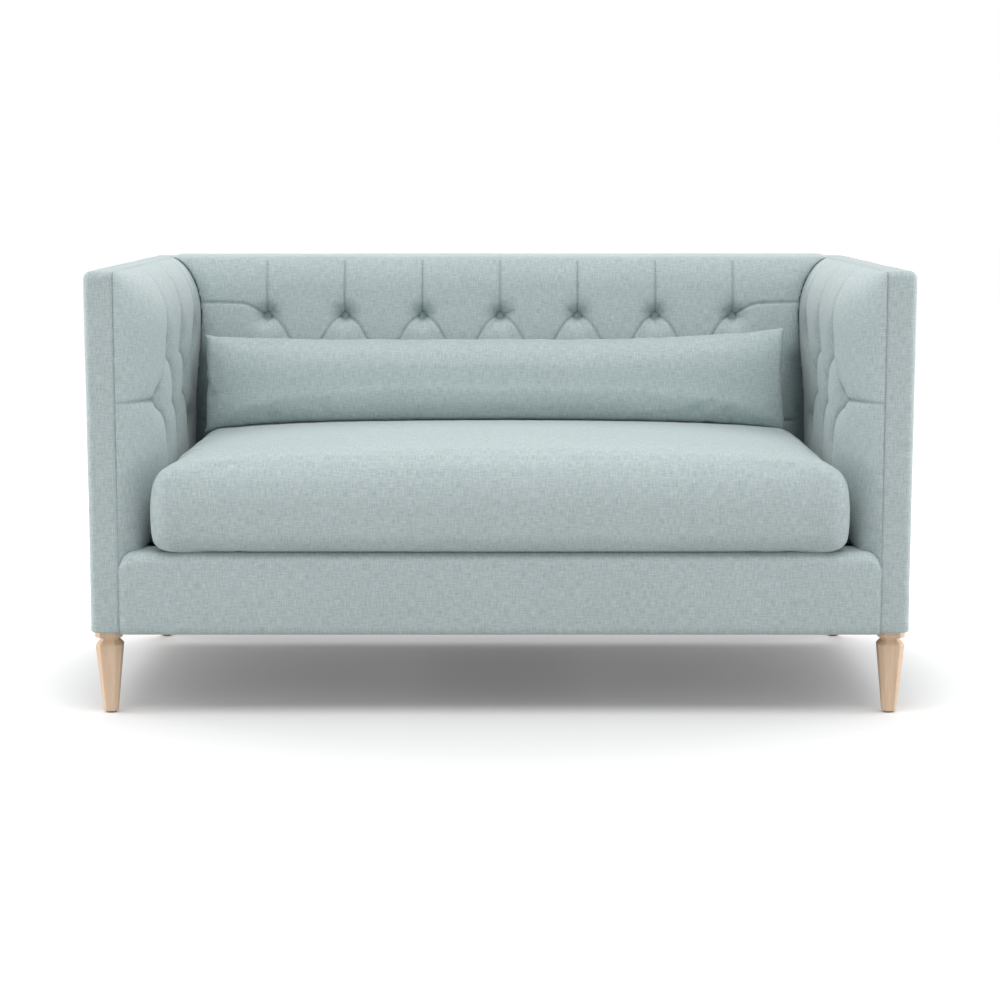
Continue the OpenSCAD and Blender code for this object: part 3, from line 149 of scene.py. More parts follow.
def boxUv(piece):
    # a weave map in metres, from the side each face looks to
    mesh = piece.data
    layer = mesh.uv_layers.get("weave") or mesh.uv_layers.new(name="weave")
    count = len(mesh.loops)
    vertex = np.empty(count, dtype=np.int32)
    mesh.loops.foreach_get("vertex_index", vertex)
    place = np.empty(len(mesh.vertices) * 3)
    mesh.vertices.foreach_get("co", place)
    place = place.reshape(-1, 3)
    normal = np.empty(len(mesh.polygons) * 3)
    mesh.polygons.foreach_get("normal", normal)
    normal = np.abs(normal.reshape(-1, 3)) * (1.0, 1.15, 1.0)
    total = np.empty(len(mesh.polygons), dtype=np.int32)
    mesh.polygons.foreach_get("loop_total", total)
    side = np.repeat(np.argmax(normal, axis=1), total)
    p = place[vertex]
    u = np.where(side == 0, p[:, 1], p[:, 0])
    v = np.where(side == 2, p[:, 1], p[:, 2])
    layer.data.foreach_set("uv", np.stack([u, v], axis=1).ravel())


def setPaintedShade(piece, values):
    # painted shade: how deep each point lies in a crease, a seam or a recess, which the cloth's
    # material darkens to stand in for the shade there
    attributes = piece.data.attributes
    layer = attributes.get("paintedShade") or attributes.new("paintedShade", "FLOAT", "POINT")
    layer.data.foreach_set("value", np.asarray(values, dtype=np.float32))


def vertexArray(piece):
    out = np.empty(len(piece.data.vertices) * 3)
    piece.data.vertices.foreach_get("co", out)
    return out.reshape(-1, 3)


def setVertices(piece, points):
    piece.data.vertices.foreach_set("co", np.asarray(points).ravel())
    piece.data.update()


def softNoise(p, size, seed):
    return noise.noise(Vector((p[0] / size + seed, p[1] / size - seed, p[2] / size + 2 * seed)))


# materials
def nodeGroup(name, inputs, outputs):
    group = bpy.data.node_groups.new(name, "ShaderNodeTree")
    for label, kind, value in inputs:
        socket = group.interface.new_socket(name=label, in_out="INPUT", socket_type=kind)
        if value is not None:
            socket.default_value = value
    for label, kind in outputs:
        group.interface.new_socket(name=label, in_out="OUTPUT", socket_type=kind)
    return group, group.nodes.new("NodeGroupInput"), group.nodes.new("NodeGroupOutput")


def addNode(tree, kind, **settings):
    node = tree.nodes.new(kind)
    for key, value in settings.items():
        setattr(node, key, value)
    return node


def addMath(tree, operation, a, b=None):
    node = addNode(tree, "ShaderNodeMath", operation=operation)
    for slot, value in ((0, a), (1, b)):
        if value is None:
            continue
        if isinstance(value, (int, float)):
            node.inputs[slot].default_value = value
        else:
            tree.links.new(value, node.inputs[slot])
    return node.outputs[0]


def weigh(tree, *terms):
    # the sum of values, each times its weight
    total = None
    for value, weight in terms:
        part = addMath(tree, "MULTIPLY", value, weight)
        total = part if total is None else addMath(tree, "ADD", total, part)
    return total


def setRough(tree, shader, value, swing, base):
    rough = addMath(tree, "ADD", addMath(tree, "MULTIPLY", value, swing), base)
    tree.links.new(rough, shader.inputs["Roughness"])


def setBump(tree, shader, height, strength, distance):
    bump = addNode(tree, "ShaderNodeBump")
    bump.inputs["Strength"].default_value = strength
    bump.inputs["Distance"].default_value = distance
    tree.links.new(height, bump.inputs["Height"])
    tree.links.new(bump.outputs[0], shader.inputs["Normal"])


def scaledNoise(tree, vector, scale, detail, roughness):
    mapping = addNode(tree, "ShaderNodeMapping")
    mapping.inputs["Scale"].default_value = scale
    tree.links.new(vector, mapping.inputs["Vector"])
    texture = addNode(tree, "ShaderNodeTexNoise")
    texture.inputs["Scale"].default_value = 1.0
    texture.inputs["Detail"].default_value = detail
    texture.inputs["Roughness"].default_value = roughness
    tree.links.new(mapping.outputs[0], texture.inputs["Vector"])
    return texture.outputs["Fac"]


def makeWeave():
    # plain weave of slubby yarn: thread height, and a mask of lighter and darker yarn
    group, start, end = nodeGroup(
        "plainWeave",
        [("Vector", "NodeSocketVector", None), ("Thread", "NodeSocketFloat", 0.0011)],
        [(label, "NodeSocketFloat") for label in ("Height", "Yarn", "Cloud")],
    )
    vector = start.outputs["Vector"]
    split = addNode(group, "ShaderNodeSeparateXYZ")
    group.links.new(vector, split.inputs[0])
    waves = []
    for axis in ("X", "Y"):
        turns = addMath(group, "DIVIDE", split.outputs[axis], start.outputs["Thread"])
        waves.append(addMath(group, "SINE", addMath(group, "MULTIPLY", turns, math.pi)))
    over = addMath(group, "MULTIPLY", waves[0], waves[1])
    alongX = scaledNoise(group, vector, (58, 450, 1), 3.0, 0.55)
    alongY = scaledNoise(group, vector, (450, 58, 1), 3.0, 0.55)
    fine = scaledNoise(group, vector, (400, 400, 1), 3.0, 0.65)
    yarn = weigh(group, (alongX, 0.38), (alongY, 0.40), (fine, 0.22))
    height = weigh(group, (over, 0.35), (yarn, 0.9))
    cloud = scaledNoise(group, vector, (5, 7, 1), 3.0, 0.55)
    group.links.new(height, end.inputs["Height"])
    group.links.new(yarn, end.inputs["Yarn"])
    group.links.new(cloud, end.inputs["Cloud"])
    return group


weave = makeWeave()


def rampNode(tree, fac, stops):
    ramp = addNode(tree, "ShaderNodeValToRGB")
    while len(ramp.color_ramp.elements) < len(stops):
        ramp.color_ramp.elements.new(0.5)
    for element, (place, colour) in zip(ramp.color_ramp.elements, stops):
        element.position = place
        element.color = (*colour, 1)
    tree.links.new(fac, ramp.inputs[0])
    return ramp.outputs[0]


def mixColour(tree, kind, fac, a, b):
    mix = addNode(tree, "ShaderNodeMix", data_type="RGBA", blend_type=kind)
    for slot, value in ((0, fac), (6, a), (7, b)):
        if isinstance(value, (int, float)):
            mix.inputs[slot].default_value = value
        elif isinstance(value, tuple):
            mix.inputs[slot].default_value = (*value, 1)
        else:
            tree.links.new(value, mix.inputs[slot])
    return mix.outputs[2]


def newMaterial(name):
    material = bpy.data.materials.new(name)
    material.use_nodes = True
    tree = material.node_tree
    return material, tree, tree.nodes["Principled BSDF"]


def clothMaterial(name, dark, light):
    material, tree, shader = newMaterial(name)
    uv = addNode(tree, "ShaderNodeUVMap", uv_map="weave")
    cloth = addNode(tree, "ShaderNodeGroup", node_tree=weave)
    tree.links.new(uv.outputs[0], cloth.inputs["Vector"])
    colour = rampNode(tree, cloth.outputs["Yarn"], [(0.36, dark), (0.62, light)])
    cloudStops = [(0.3, (0.965, 0.965, 0.965)), (0.7, (1, 1, 1))]
    shade = rampNode(tree, cloth.outputs["Cloud"], cloudStops)
    colour = mixColour(tree, "MULTIPLY", 1.0, colour, shade)
    # painted shade: the colour is darkened by each point's painted shade value
    paintedShade = addNode(tree, "ShaderNodeAttribute", attribute_name="paintedShade")
    paintedShadeTint = rampNode(tree, paintedShade.outputs["Fac"], [(0.0, (1, 1, 1)), (1.0, (0.38, 0.42, 0.435))])
    colour = mixColour(tree, "MULTIPLY", 1.0, colour, paintedShadeTint)
    tree.links.new(colour, shader.inputs["Base Color"])
    setRough(tree, shader, cloth.outputs["Yarn"], swing=0.12, base=0.82)
    shader.inputs["Specular IOR Level"].default_value = 0.25
    shader.inputs["Sheen Weight"].default_value = 0.25
    shader.inputs["Sheen Roughness"].default_value = 0.45
    setBump(tree, shader, cloth.outputs["Height"], strength=0.35, distance=0.0008)
    return material


upholstery = clothMaterial("blueGreyWeave", (0.358, 0.437, 0.442), (0.580, 0.660, 0.665))


def woodMaterial(name, dark, light, roughness):
    # straight grain up the piece, with fine pores and a satin coat
    material, tree, shader = newMaterial(name)
    place = addNode(tree, "ShaderNodeTexCoord")
    bands = scaledNoise(tree, place.outputs["Object"], (70, 70, 3.2), 4.0, 0.55)
    pores = scaledNoise(tree, place.outputs["Object"], (900, 900, 22), 3.0, 0.6)
    grain = weigh(tree, (bands, 0.7), (pores, 0.3))
    colour = rampNode(tree, grain, [(0.34, dark), (0.62, light)])
    tree.links.new(colour, shader.inputs["Base Color"])
    setRough(tree, shader, pores, swing=0.2, base=roughness - 0.1)
    setBump(tree, shader, grain, strength=0.12, distance=0.0006)
    return material


legWood = woodMaterial("paleOak", (0.70, 0.50, 0.335), (0.84, 0.62, 0.445), roughness=0.5)
frameTimber = woodMaterial("frameTimber", (0.42, 0.28, 0.15), (0.60, 0.43, 0.25), roughness=0.7)
print("materials made")


# buttoned panels
def polyline(a, b, steps=8):
    t = np.linspace(0, 1, steps + 1)
    return np.stack([a[0] + (b[0] - a[0]) * t, a[1] + (b[1] - a[1]) * t], axis=1)


def archLine(a, b, steps=18):
    # a pleat that leaves its upper button sideways, arches down and ends straight
    t = np.linspace(0, 1, steps + 1) ** 1.4
    share = np.where(t < 0.446, 0.784 * t ** 0.45, 0.545 + 0.455 * (t - 0.446) / 0.554)
    return np.stack([a[0] + (b[0] - a[0]) * share, a[1] + (b[1] - a[1]) * t], axis=1)


def nearestPleat(points, pleats):
    best = np.full(len(points), 9.0)
    for line in pleats:
        low, high = line.min(axis=0) - 0.09, line.max(axis=0) + 0.09
        inside = np.where(np.all((points > low) & (points < high), axis=1))[0]
        part = points[inside]
        for a, b in zip(line[:-1], line[1:]):
            ab = b - a
            t = np.clip(((part - a) @ ab) / (ab @ ab), 0, 1)
            away = np.hypot(*(part - a - t[:, None] * ab).T)
            best[inside] = np.minimum(best[inside], away)
    return best


def nearestButton(points, buttons):
    across = points[:, None, 0] - buttons[None, :, 0]
    away = np.hypot(across, points[:, None, 1] - buttons[None, :, 1])
    index = np.argmin(away, axis=1)
    delta = points - buttons[index]
    return away[np.arange(len(points)), index], np.arctan2(delta[:, 1], delta[:, 0]), index


frontBand = {
    "nose": 0.018,
    "endRadius": 0.026,
    "lip": 0.090,
    "cell": 0.010,
    "bulge": 0.0022,
    "thick": 0.004,
}

armTuft = {
    "pitch": 0.180,
    "first": 0.155,
    "rowZ": 0.672,
    "rowPitch": 0.092,
    "thick": 0.067,
    "slim": 0.012,
    "rollHeight": 0.125,
    "foam": 0.028,
    "pull": 0.022,
    "tuck": 0.026,
    "lead": 0.030,
    "crown": 0.026,
    "cell": 0.0030,
    "softCrease": (0.15, 0.016),
    "crispCrease": (0.11, 0.0040),
    "dimpleRadius": 0.024,
    "lineWidth": 0.0024,
}

backTuft = {
    "pitch": 0.165,
    "rowZ": 0.703,
    "rowPitch": 0.095,
    "puff": 0.032,
    "pull": 0.007,
    "halfWidth": 0.7035,
    "padX": 0.6365,
    "cell": 0.0029,
    "topRoll": 0.070,
    "cornerRoll": 0.045,
    "softCrease": (0.07, 0.013),
    "crispCrease": (0.12, 0.0031),
    "dimpleRadius": 0.0195,
    "pullRadius": 0.014,
    "lineWidth": 0.0020,
}


def backButtons():
    pitch, rowZ, drop = backTuft["pitch"], backTuft["rowZ"], backTuft["rowPitch"]
    longRow = [i * pitch for i in range(-3, 4)]
    shortRow = [x + pitch / 2 for x in longRow[:-1]]
    rows = [longRow, shortRow, longRow]
    return np.array([(x, rowZ - k * drop) for k in range(3) for x in rows[k]])


def diagonalPleats(buttons, half, drop, line):
    return [line(p, q) for p in buttons for q in buttons
            if abs(p[1] - q[1] - drop) < 1e-3 and abs(abs(p[0] - q[0]) - half) < 1e-3]


def uprightPleats(buttons, rowZ, lastZ):
    # from the outer rows straight up to the top and down to the deck
    lines = []
    for across, z in buttons:
        if z == rowZ:
            lines.append(polyline((across, z), (across, sofa["top"])))
        if z == lastZ:
            lines.append(polyline((across, z), (across, sofa["deck"])))
    return lines


def backPleats(buttons):
    lines = diagonalPleats(buttons, backTuft["pitch"] / 2, backTuft["rowPitch"], archLine)
    rowZ, lastZ = buttons[:, 1].max(), buttons[:, 1].min()
    lines += uprightPleats(buttons, rowZ, lastZ)
    for side in (-1, 1):
        endX = side * 3 * backTuft["pitch"]
        t = np.linspace(0, 1, 18)
        x = endX + side * 0.15 * t
        rise = 0.025 * np.sin(np.clip(t * 2.6, 0, 1) * math.pi / 2)
        rise = rise + 0.004 * np.minimum(1, t * 1.6)
        lines.append(np.stack([x, rowZ + rise], axis=1))
        lines.append(np.stack([x, lastZ - rise], axis=1))
    return lines


def rollIn(t, power):
    return np.power(1 - np.power(1 - np.clip(t, 0, 1), 2.2), power)


def armFull(u, z):
    # the arm's padding before any pleat or button: it rolls in at the front and the top
    low = smoothStep((sofa["top"] - armTuft["rollHeight"] - z) / (2 * armTuft["rowPitch"]))
    rear = smoothStep((u - armTuft["first"]) / (2 * armTuft["pitch"]))
    thick = armTuft["thick"] - armTuft["slim"] * low * rear
    return thick * rollIn(u / 0.220, 0.7) * rollIn((sofa["top"] - z) / armTuft["rollHeight"], 0.6)


def padLimit(z):
    # where the arm's pad, thinner towards its top, meets the inside back
    return sofa["seamX"] - 0.0008 - armFull(0.69, z)


def buttonRays(button, angle, index, turn):
    # short creases that run out from under a button, no two buttons alike, and the painted shade
    # along them
    wave = np.cos(3.5 * angle + turn * index) * (0.75 + 0.25 * np.sin(2.0 * angle + 2.3 * index))
    narrow = np.power(np.abs(wave), 7)
    reach = np.exp(-(((button - 0.017) / 0.0105) ** 2))
    return (0.0005 - 0.0022 * narrow) * reach, 0.28 * narrow * reach


def creaseDepth(pleat, tuft):
    # a soft valley along each pleat with a crisp one in it, as shares of the padding
    soft, softWidth = tuft["softCrease"]
    crisp, crispWidth = tuft["crispCrease"]
    return soft * np.exp(-pleat / softWidth) + crisp * np.exp(-(pleat / crispWidth) ** 2)


def buttonPaintedShade(button):
    # painted shade: a dark ring right under a button
    return 0.5 * np.exp(-((button / 0.0110) ** 4))


def backHeight(x, z, buttons, pleats):
    p = np.stack([x, z], axis=1)
    pleat = nearestPleat(p, pleats)
    button, angle, index = nearestButton(p, buttons)
    limit = padLimit(z)
    topFall = rollIn((sofa["top"] + 0.002 - z) / backTuft["topRoll"], 0.62)
    edge = 0.5 * smoothStep((z - 0.62) / 0.08)
    sideFall = edge + (1 - edge) * rollIn((limit - np.abs(x)) / backTuft["cornerRoll"], 0.6)
    crease = creaseDepth(pleat, backTuft)
    crease *= 0.55 + 0.45 * np.exp(-button / 0.030)
    dimple = np.exp(-((button / backTuft["dimpleRadius"]) ** 1.6))
    puff = backTuft["puff"] * (1 - crease) * topFall * sideFall * (1 - 0.87 * dimple)
    rays, rayPaintedShade = buttonRays(button, angle, index, 1.7)
    height = puff + rays - backTuft["pull"] * np.exp(-((button / backTuft["pullRadius"]) ** 2))
    # painted shade along each pleat line
    line = np.exp(-(pleat / backTuft["lineWidth"]) ** 2)
    line = line * smoothStep((sofa["top"] - 0.003 - z) / 0.006)
    # low down, painted shade darkens the corner beside the arm's pad
    corner = smoothStep(1 - (limit - np.abs(x) - 0.012) / 0.045)
    corner = corner * smoothStep((0.660 - z) / 0.05)
    # painted shade: pleat lines, button rays, button rings and the low corners
    paintedShade = np.clip(0.62 * line + rayPaintedShade + buttonPaintedShade(button) + corner, 0, 1)
    inside = np.abs(x) < limit
    return np.where(inside, height, 0.0), np.where(inside, paintedShade, 0.0)


def closedPanel(name, front, behind, paintedShade, flip):
    # front and behind are rows x cols x 3; the rear is one flat face and the rim joins them
    rows, cols = front.shape[:2]
    count = rows * cols
    faces = gridFaces(rows, cols, flip)
    rim = list(range(cols)) + [j * cols + cols - 1 for j in range(1, rows)]
    rim += [(rows - 1) * cols + i for i in range(cols - 2, -1, -1)]
    rim += [j * cols for j in range(rows - 2, 0, -1)]
    base = [count + k for k in range(len(rim))]
    loop = list(zip(rim, base))
    for (a, c), (b, d) in zip(loop, loop[1:] + loop[:1]):
        faces.append([a, b, d, c][:: 1 if flip else -1])
    faces.append(base[:: 1 if flip else -1])
    flat = front.reshape(-1, 3)
    rear = behind.reshape(-1, 3)[rim]
    piece = makePiece(name, np.concatenate([flat, rear]), faces, upholstery)
    setPaintedShade(piece, np.concatenate([paintedShade, np.zeros(len(rim))]))
    boxUv(piece)
    return piece


def makeInsideBack():
    cell = backTuft["cell"]
    padX, half = backTuft["padX"], backTuft["halfWidth"]
    n = int(2 * padX / cell)
    side = np.linspace(padX, half, 20)[1:]
    xs = np.concatenate([-side[::-1], np.linspace(-padX, padX, n), side])
    lowZ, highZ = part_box("inside_back")[0].z, sofa["top"] - 0.0005
    lower = np.linspace(lowZ, highZ - 0.012, int((highZ - lowZ) / cell))
    crown = np.array([0.009, 0.0065, 0.0045, 0.0028, 0.0014, 0.0005, 0])
    zs = np.concatenate([lower, highZ - crown])
    x, z = np.meshgrid(xs, zs)
    buttons = backButtons()
    height, paintedShade = backHeight(x.ravel(), z.ravel(), buttons, backPleats(buttons))
    plane = rearY(z) - sofa["seamDepth"]
    front = np.stack([x, plane - height.reshape(x.shape), z], axis=2)
    behind = np.stack([x, plane + 0.0149, np.minimum(z, highZ - 0.014)], axis=2)
    piece = closedPanel("insideBack", front, behind, paintedShade, False)
    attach(piece, "sofa")
    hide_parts("inside_back")


def armButtons():
    first, pitch = armTuft["first"], armTuft["pitch"]
    rowZ, drop = armTuft["rowZ"], armTuft["rowPitch"]
    middle = [first + k * pitch for k in range(3)]
    outer = [u + pitch / 2 for u in middle]
    rows = [outer, middle, outer]
    return np.array([(u, rowZ - k * drop) for k in range(3) for u in rows[k]])


def armPleats(buttons):
    lines = diagonalPleats(buttons, armTuft["pitch"] / 2, armTuft["rowPitch"], polyline)
    rowZ, lastZ = buttons[:, 1].max(), buttons[:, 1].min()
    lines += uprightPleats(buttons, rowZ, lastZ)
    firstRow = rowZ - armTuft["rowPitch"]
    lines.append(polyline((armTuft["first"], firstRow), (-0.002, firstRow + 0.006)))
    return lines


def armThickness(u, z, buttons, pleats):
    p = np.stack([u, z], axis=1)
    pleat = nearestPleat(p, pleats)
    button, angle, index = nearestButton(p, buttons)
    full = armFull(u, z)
    roll = full / armTuft["thick"]
    risen = smoothStep((z - buttons[:, 1].max()) / 0.09)
    crease = creaseDepth(pleat, armTuft)
    crease *= (0.75 + 0.25 * np.exp(-button / 0.045)) * (1 - 0.40 * risen)
    pull = np.clip(0.84 * full - armTuft["foam"] - 0.003, 0, armTuft["pull"])
    dimple = pull * np.exp(-((button / armTuft["dimpleRadius"]) ** 1.7))
    rays, rayPaintedShade = buttonRays(button, angle, index, 1.3)
    thick = full * (1 - crease) - dimple + rays * roll
    # low down at the front the pad rolls away, as far as its foam lets it
    tucked = 1 - rollIn((z - sofa["deck"]) / 0.105, 0.6)
    tucked = tucked * (1 - smoothStep((u - 0.10) / 0.12))
    floorThick = np.minimum(thick, (armTuft["foam"] + 0.006) * smoothStep(u / 0.050))
    spare = np.clip((thick - floorThick) / armTuft["tuck"], 0, 1)
    thick = thick - armTuft["tuck"] * tucked * spare
    # painted shade along each pleat line, its rays and round the buttons
    line = np.exp(-(pleat / armTuft["lineWidth"]) ** 2)
    line = line * np.maximum(roll, 0.75) * (1 - 0.82 * risen)
    paintedShade = np.clip(0.66 * line + rayPaintedShade * roll + buttonPaintedShade(button), 0, 1)
    return np.maximum(thick, 0.001), paintedShade


def armRun():
    # from the front to the inside back's seam, at the height of the deck
    return sofa["baseDepth"] + (sofa["deck"] - sofa["bottom"]) * sofa["rake"] - sofa["seamDepth"]


def armY(u, z):
    return sofa["frontY"] + u + (z - sofa["deck"]) * sofa["rake"] * smoothStep(u / armRun())


def bandDrop(gap):
    # how far the front band's top has rounded down, by the distance to its end
    end = frontBand["endRadius"]
    return end - np.sqrt(np.maximum(0, end * end - np.maximum(0, end - gap) ** 2))


def makeInsideArm(side):
    # finer rows where the pad rolls in: over the lead at the front and the crown at the top
    cell, run = armTuft["cell"], armRun()
    lead, crown = armTuft["lead"], armTuft["crown"]
    closer = np.linspace(0, 1, 11) ** 1.8
    along = np.linspace(lead, run, int((run - lead) / cell))
    us = np.concatenate([lead * closer[:-1], along])
    lowZ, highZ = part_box("inside_arm_right")[0].z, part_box("inside_arm_right")[1].z
    upright = np.linspace(lowZ, highZ - crown, int((highZ - crown - lowZ) / cell))
    zs = np.concatenate([upright, (highZ - crown * closer)[::-1][1:]])
    u, z = np.meshgrid(us, zs)
    buttons = armButtons()
    thick, paintedShade = armThickness(u.ravel(), z.ravel(), buttons, armPleats(buttons))
    y = armY(u, z)
    thick = thick.reshape(u.shape)
    # the lower edge follows the rounded end of the front band
    reach = (1 - smoothStep((u - 0.082) / 0.010)) * np.exp(-(((z - lowZ) / 0.014) ** 2))
    front = np.stack([side * (sofa["seamX"] - thick), y, z - reach * bandDrop(thick)], axis=2)
    wall = np.full(u.shape, side * sofa["seamX"])
    behind = np.stack([wall, y, z - reach * bandDrop(0 * thick)], axis=2)
    name = "insideArmRight" if side > 0 else "insideArmLeft"
    piece = closedPanel(name, front, behind, paintedShade, side > 0)
    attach(piece, "sofa")
    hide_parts("inside_arm_right" if side > 0 else "inside_arm_left")


makeInsideBack()
makeInsideArm(-1)
makeInsideArm(1)
print("buttoned panels made")


# covered buttons
coveredButton = {
    "diameter": 0.0168,
    "rim": 0.0022,
    "dome": 0.0045,
    "sides": 28,
    "proud": 0.0015,
    "shade": 0.18,
}


def buttonMesh():
    # a domed cap over a rolled rim, its back at z = 0
    r, rim, dome = coveredButton["diameter"] / 2, coveredButton["rim"], coveredButton["dome"]
    profile = [(r * 0.80, 0), (r * 0.97, rim * 0.25), (r, rim * 0.7), (r * 0.965, rim * 1.15)]
    for k in range(1, 7):
        turn = k / 7 * math.pi / 2
        out, up = r * 0.965 * math.cos(turn) ** 0.9, rim * 1.15 + (dome - rim) * math.sin(turn)
        profile.append((out, up))
    n = coveredButton["sides"]
    turns = [2 * math.pi * i / n for i in range(n)]
    points = [(a * math.cos(t), a * math.sin(t), h) for a, h in profile for t in turns]
    points += [(0, 0, 0), (0, 0, rim * 0.15 + dome)]
    faces = ringFaces(len(profile), n) + poleFaces(len(profile), n)
    return makePiece("buttonShape", points, faces, upholstery)


def scatterTree(name, inputs):
    tree = bpy.data.node_groups.new(name, "GeometryNodeTree")
    tree.interface.new_socket(name="Geometry", in_out="INPUT", socket_type="NodeSocketGeometry")
    tree.interface.new_socket(name="Geometry", in_out="OUTPUT", socket_type="NodeSocketGeometry")
    for label, kind, value in inputs:
        socket = tree.interface.new_socket(name=label, in_out="INPUT", socket_type=kind)
        if value is not None:
            socket.default_value = value
    return tree, tree.nodes.new("NodeGroupInput"), tree.nodes.new("NodeGroupOutput")


def setInputs(modifier, values):
    for item in modifier.node_group.interface.items_tree:
        if item.in_out == "INPUT" and item.name in values:
            modifier[item.identifier] = values[item.name]


def placeAlongNormals():
    # one shape on every point, turned to the point's own direction, with a little spin
    tree, start, end = scatterTree(
        "placeAlongNormals",
        [
            ("Shape", "NodeSocketObject", None),
            ("Scale", "NodeSocketFloat", 1.0),
            ("SpinFrom", "NodeSocketFloat", 0.0),
            ("SpinTo", "NodeSocketFloat", 6.28),
            ("Seed", "NodeSocketInt", 3),
            ("Material", "NodeSocketMaterial", None),
        ],
    )
    facing = addNode(tree, "GeometryNodeInputNamedAttribute", data_type="FLOAT_VECTOR")
    facing.inputs["Name"].default_value = "facing"
    turn = addNode(tree, "FunctionNodeAlignEulerToVector", axis="Z")
    tree.links.new(facing.outputs[0], turn.inputs["Vector"])
    spin = addNode(tree, "FunctionNodeRandomValue", data_type="FLOAT")
    tree.links.new(start.outputs["SpinFrom"], spin.inputs[2])
    tree.links.new(start.outputs["SpinTo"], spin.inputs[3])
    tree.links.new(start.outputs["Seed"], spin.inputs["Seed"])
    twist = addNode(tree, "FunctionNodeRotateEuler", rotation_type="AXIS_ANGLE", space="LOCAL")
    twist.inputs["Axis"].default_value = (0, 0, 1)
    tree.links.new(turn.outputs[0], twist.inputs["Rotation"])
    tree.links.new(spin.outputs[1], twist.inputs["Angle"])
    shape = addNode(tree, "GeometryNodeObjectInfo", transform_space="ORIGINAL")
    tree.links.new(start.outputs["Shape"], shape.inputs["Object"])
    place = addNode(tree, "GeometryNodeInstanceOnPoints")
    tree.links.new(start.outputs["Geometry"], place.inputs["Points"])
    tree.links.new(shape.outputs["Geometry"], place.inputs["Instance"])
    tree.links.new(twist.outputs[0], place.inputs["Rotation"])
    tree.links.new(start.outputs["Scale"], place.inputs["Scale"])
    real = addNode(tree, "GeometryNodeRealizeInstances")
    tree.links.new(place.outputs[0], real.inputs[0])
    paint = addNode(tree, "GeometryNodeSetMaterial")
    tree.links.new(real.outputs[0], paint.inputs["Geometry"])
    tree.links.new(start.outputs["Material"], paint.inputs["Material"])
    tree.links.new(paint.outputs[0], end.inputs[0])
    return tree


placing = placeAlongNormals()


def scatter(name, points, facings, shape, material, seed, spin=(0.0, 6.28)):
    mesh = bpy.data.meshes.new(name + "Points")
    mesh.from_pydata([tuple(p) for p in points], [], [])
    layer = mesh.attributes.new("facing", "FLOAT_VECTOR", "POINT")
    layer.data.foreach_set("vector", np.asarray(facings, dtype=np.float32).ravel())
    holder = bpy.data.objects.new(name + "Points", mesh)
    bpy.context.scene.collection.objects.link(holder)
    modifier = holder.modifiers.new("place", "NODES")
    modifier.node_group = placing
    setInputs(modifier, {
        "Shape": shape,
        "Scale": 1.0,
        "SpinFrom": spin[0],
        "SpinTo": spin[1],
        "Seed": seed,
        "Material": material,
    })
    return bakeNodes(name, holder)


def bakeNodes(name, holder):
    bpy.context.view_layer.update()
    graph = bpy.context.evaluated_depsgraph_get()
    mesh = bpy.data.meshes.new_from_object(holder.evaluated_get(graph), depsgraph=graph)
    holder.modifiers.clear()
    bpy.data.objects.remove(holder)
    mesh.name = name
    piece = bpy.data.objects.new(name, mesh)
    bpy.context.scene.collection.objects.link(piece)
    mesh.polygons.foreach_set("use_smooth", [True] * len(mesh.polygons))
    return piece


def makeButtons():
    shape = buttonMesh()
    buttons = backButtons()
    height = backHeight(buttons[:, 0], buttons[:, 1], buttons, backPleats(buttons))[0]
    lean = Vector((0, -1, sofa["rake"])).normalized()
    seam, proud = sofa["seamDepth"], coveredButton["proud"]
    points = [(x, rearY(z) - seam - h - proud, z) for (x, z), h in zip(buttons, height)]
    back = scatter("backButtons", points, [lean] * len(points), shape, upholstery, seed=5)
    buttons = armButtons()
    thick = armThickness(buttons[:, 0], buttons[:, 1], buttons, armPleats(buttons))[0]
    points, facings = [], []
    for side in (-1, 1):
        for (u, z), t in zip(buttons, thick):
            points.append((side * (sofa["seamX"] - t - proud), float(armY(u, z)), z))
            facings.append((-side, 0, 0))
    arms = scatter("armButtons", points, facings, shape, upholstery, seed=8)
    bpy.data.objects.remove(shape)
    for piece, node in ((back, "back_buttons"), (arms, "arm_buttons")):
        # painted shade: the buttons are darkened all over, as if sunk in shade
        setPaintedShade(piece, np.full(len(piece.data.vertices), coveredButton["shade"]))
        boxUv(piece)
        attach(piece, "sofa")
        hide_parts(node)


makeButtons()
print("buttons made")


# outer covers
cover = {
    "cell": 0.024,
    "wrap": 0.018,
    "thick": 0.0045,
    "turnUnder": 0.032,
    "groove": 0.0014,
    "grooveReach": 0.0036,
    "topBulge": 0.0055,
    "lowCorner": 0.004,
    # how far the turned edges lie below the rails they are fixed to
    "underSkin": 0.0003,
    "low": sofa["bottom"] + 0.0004,
}


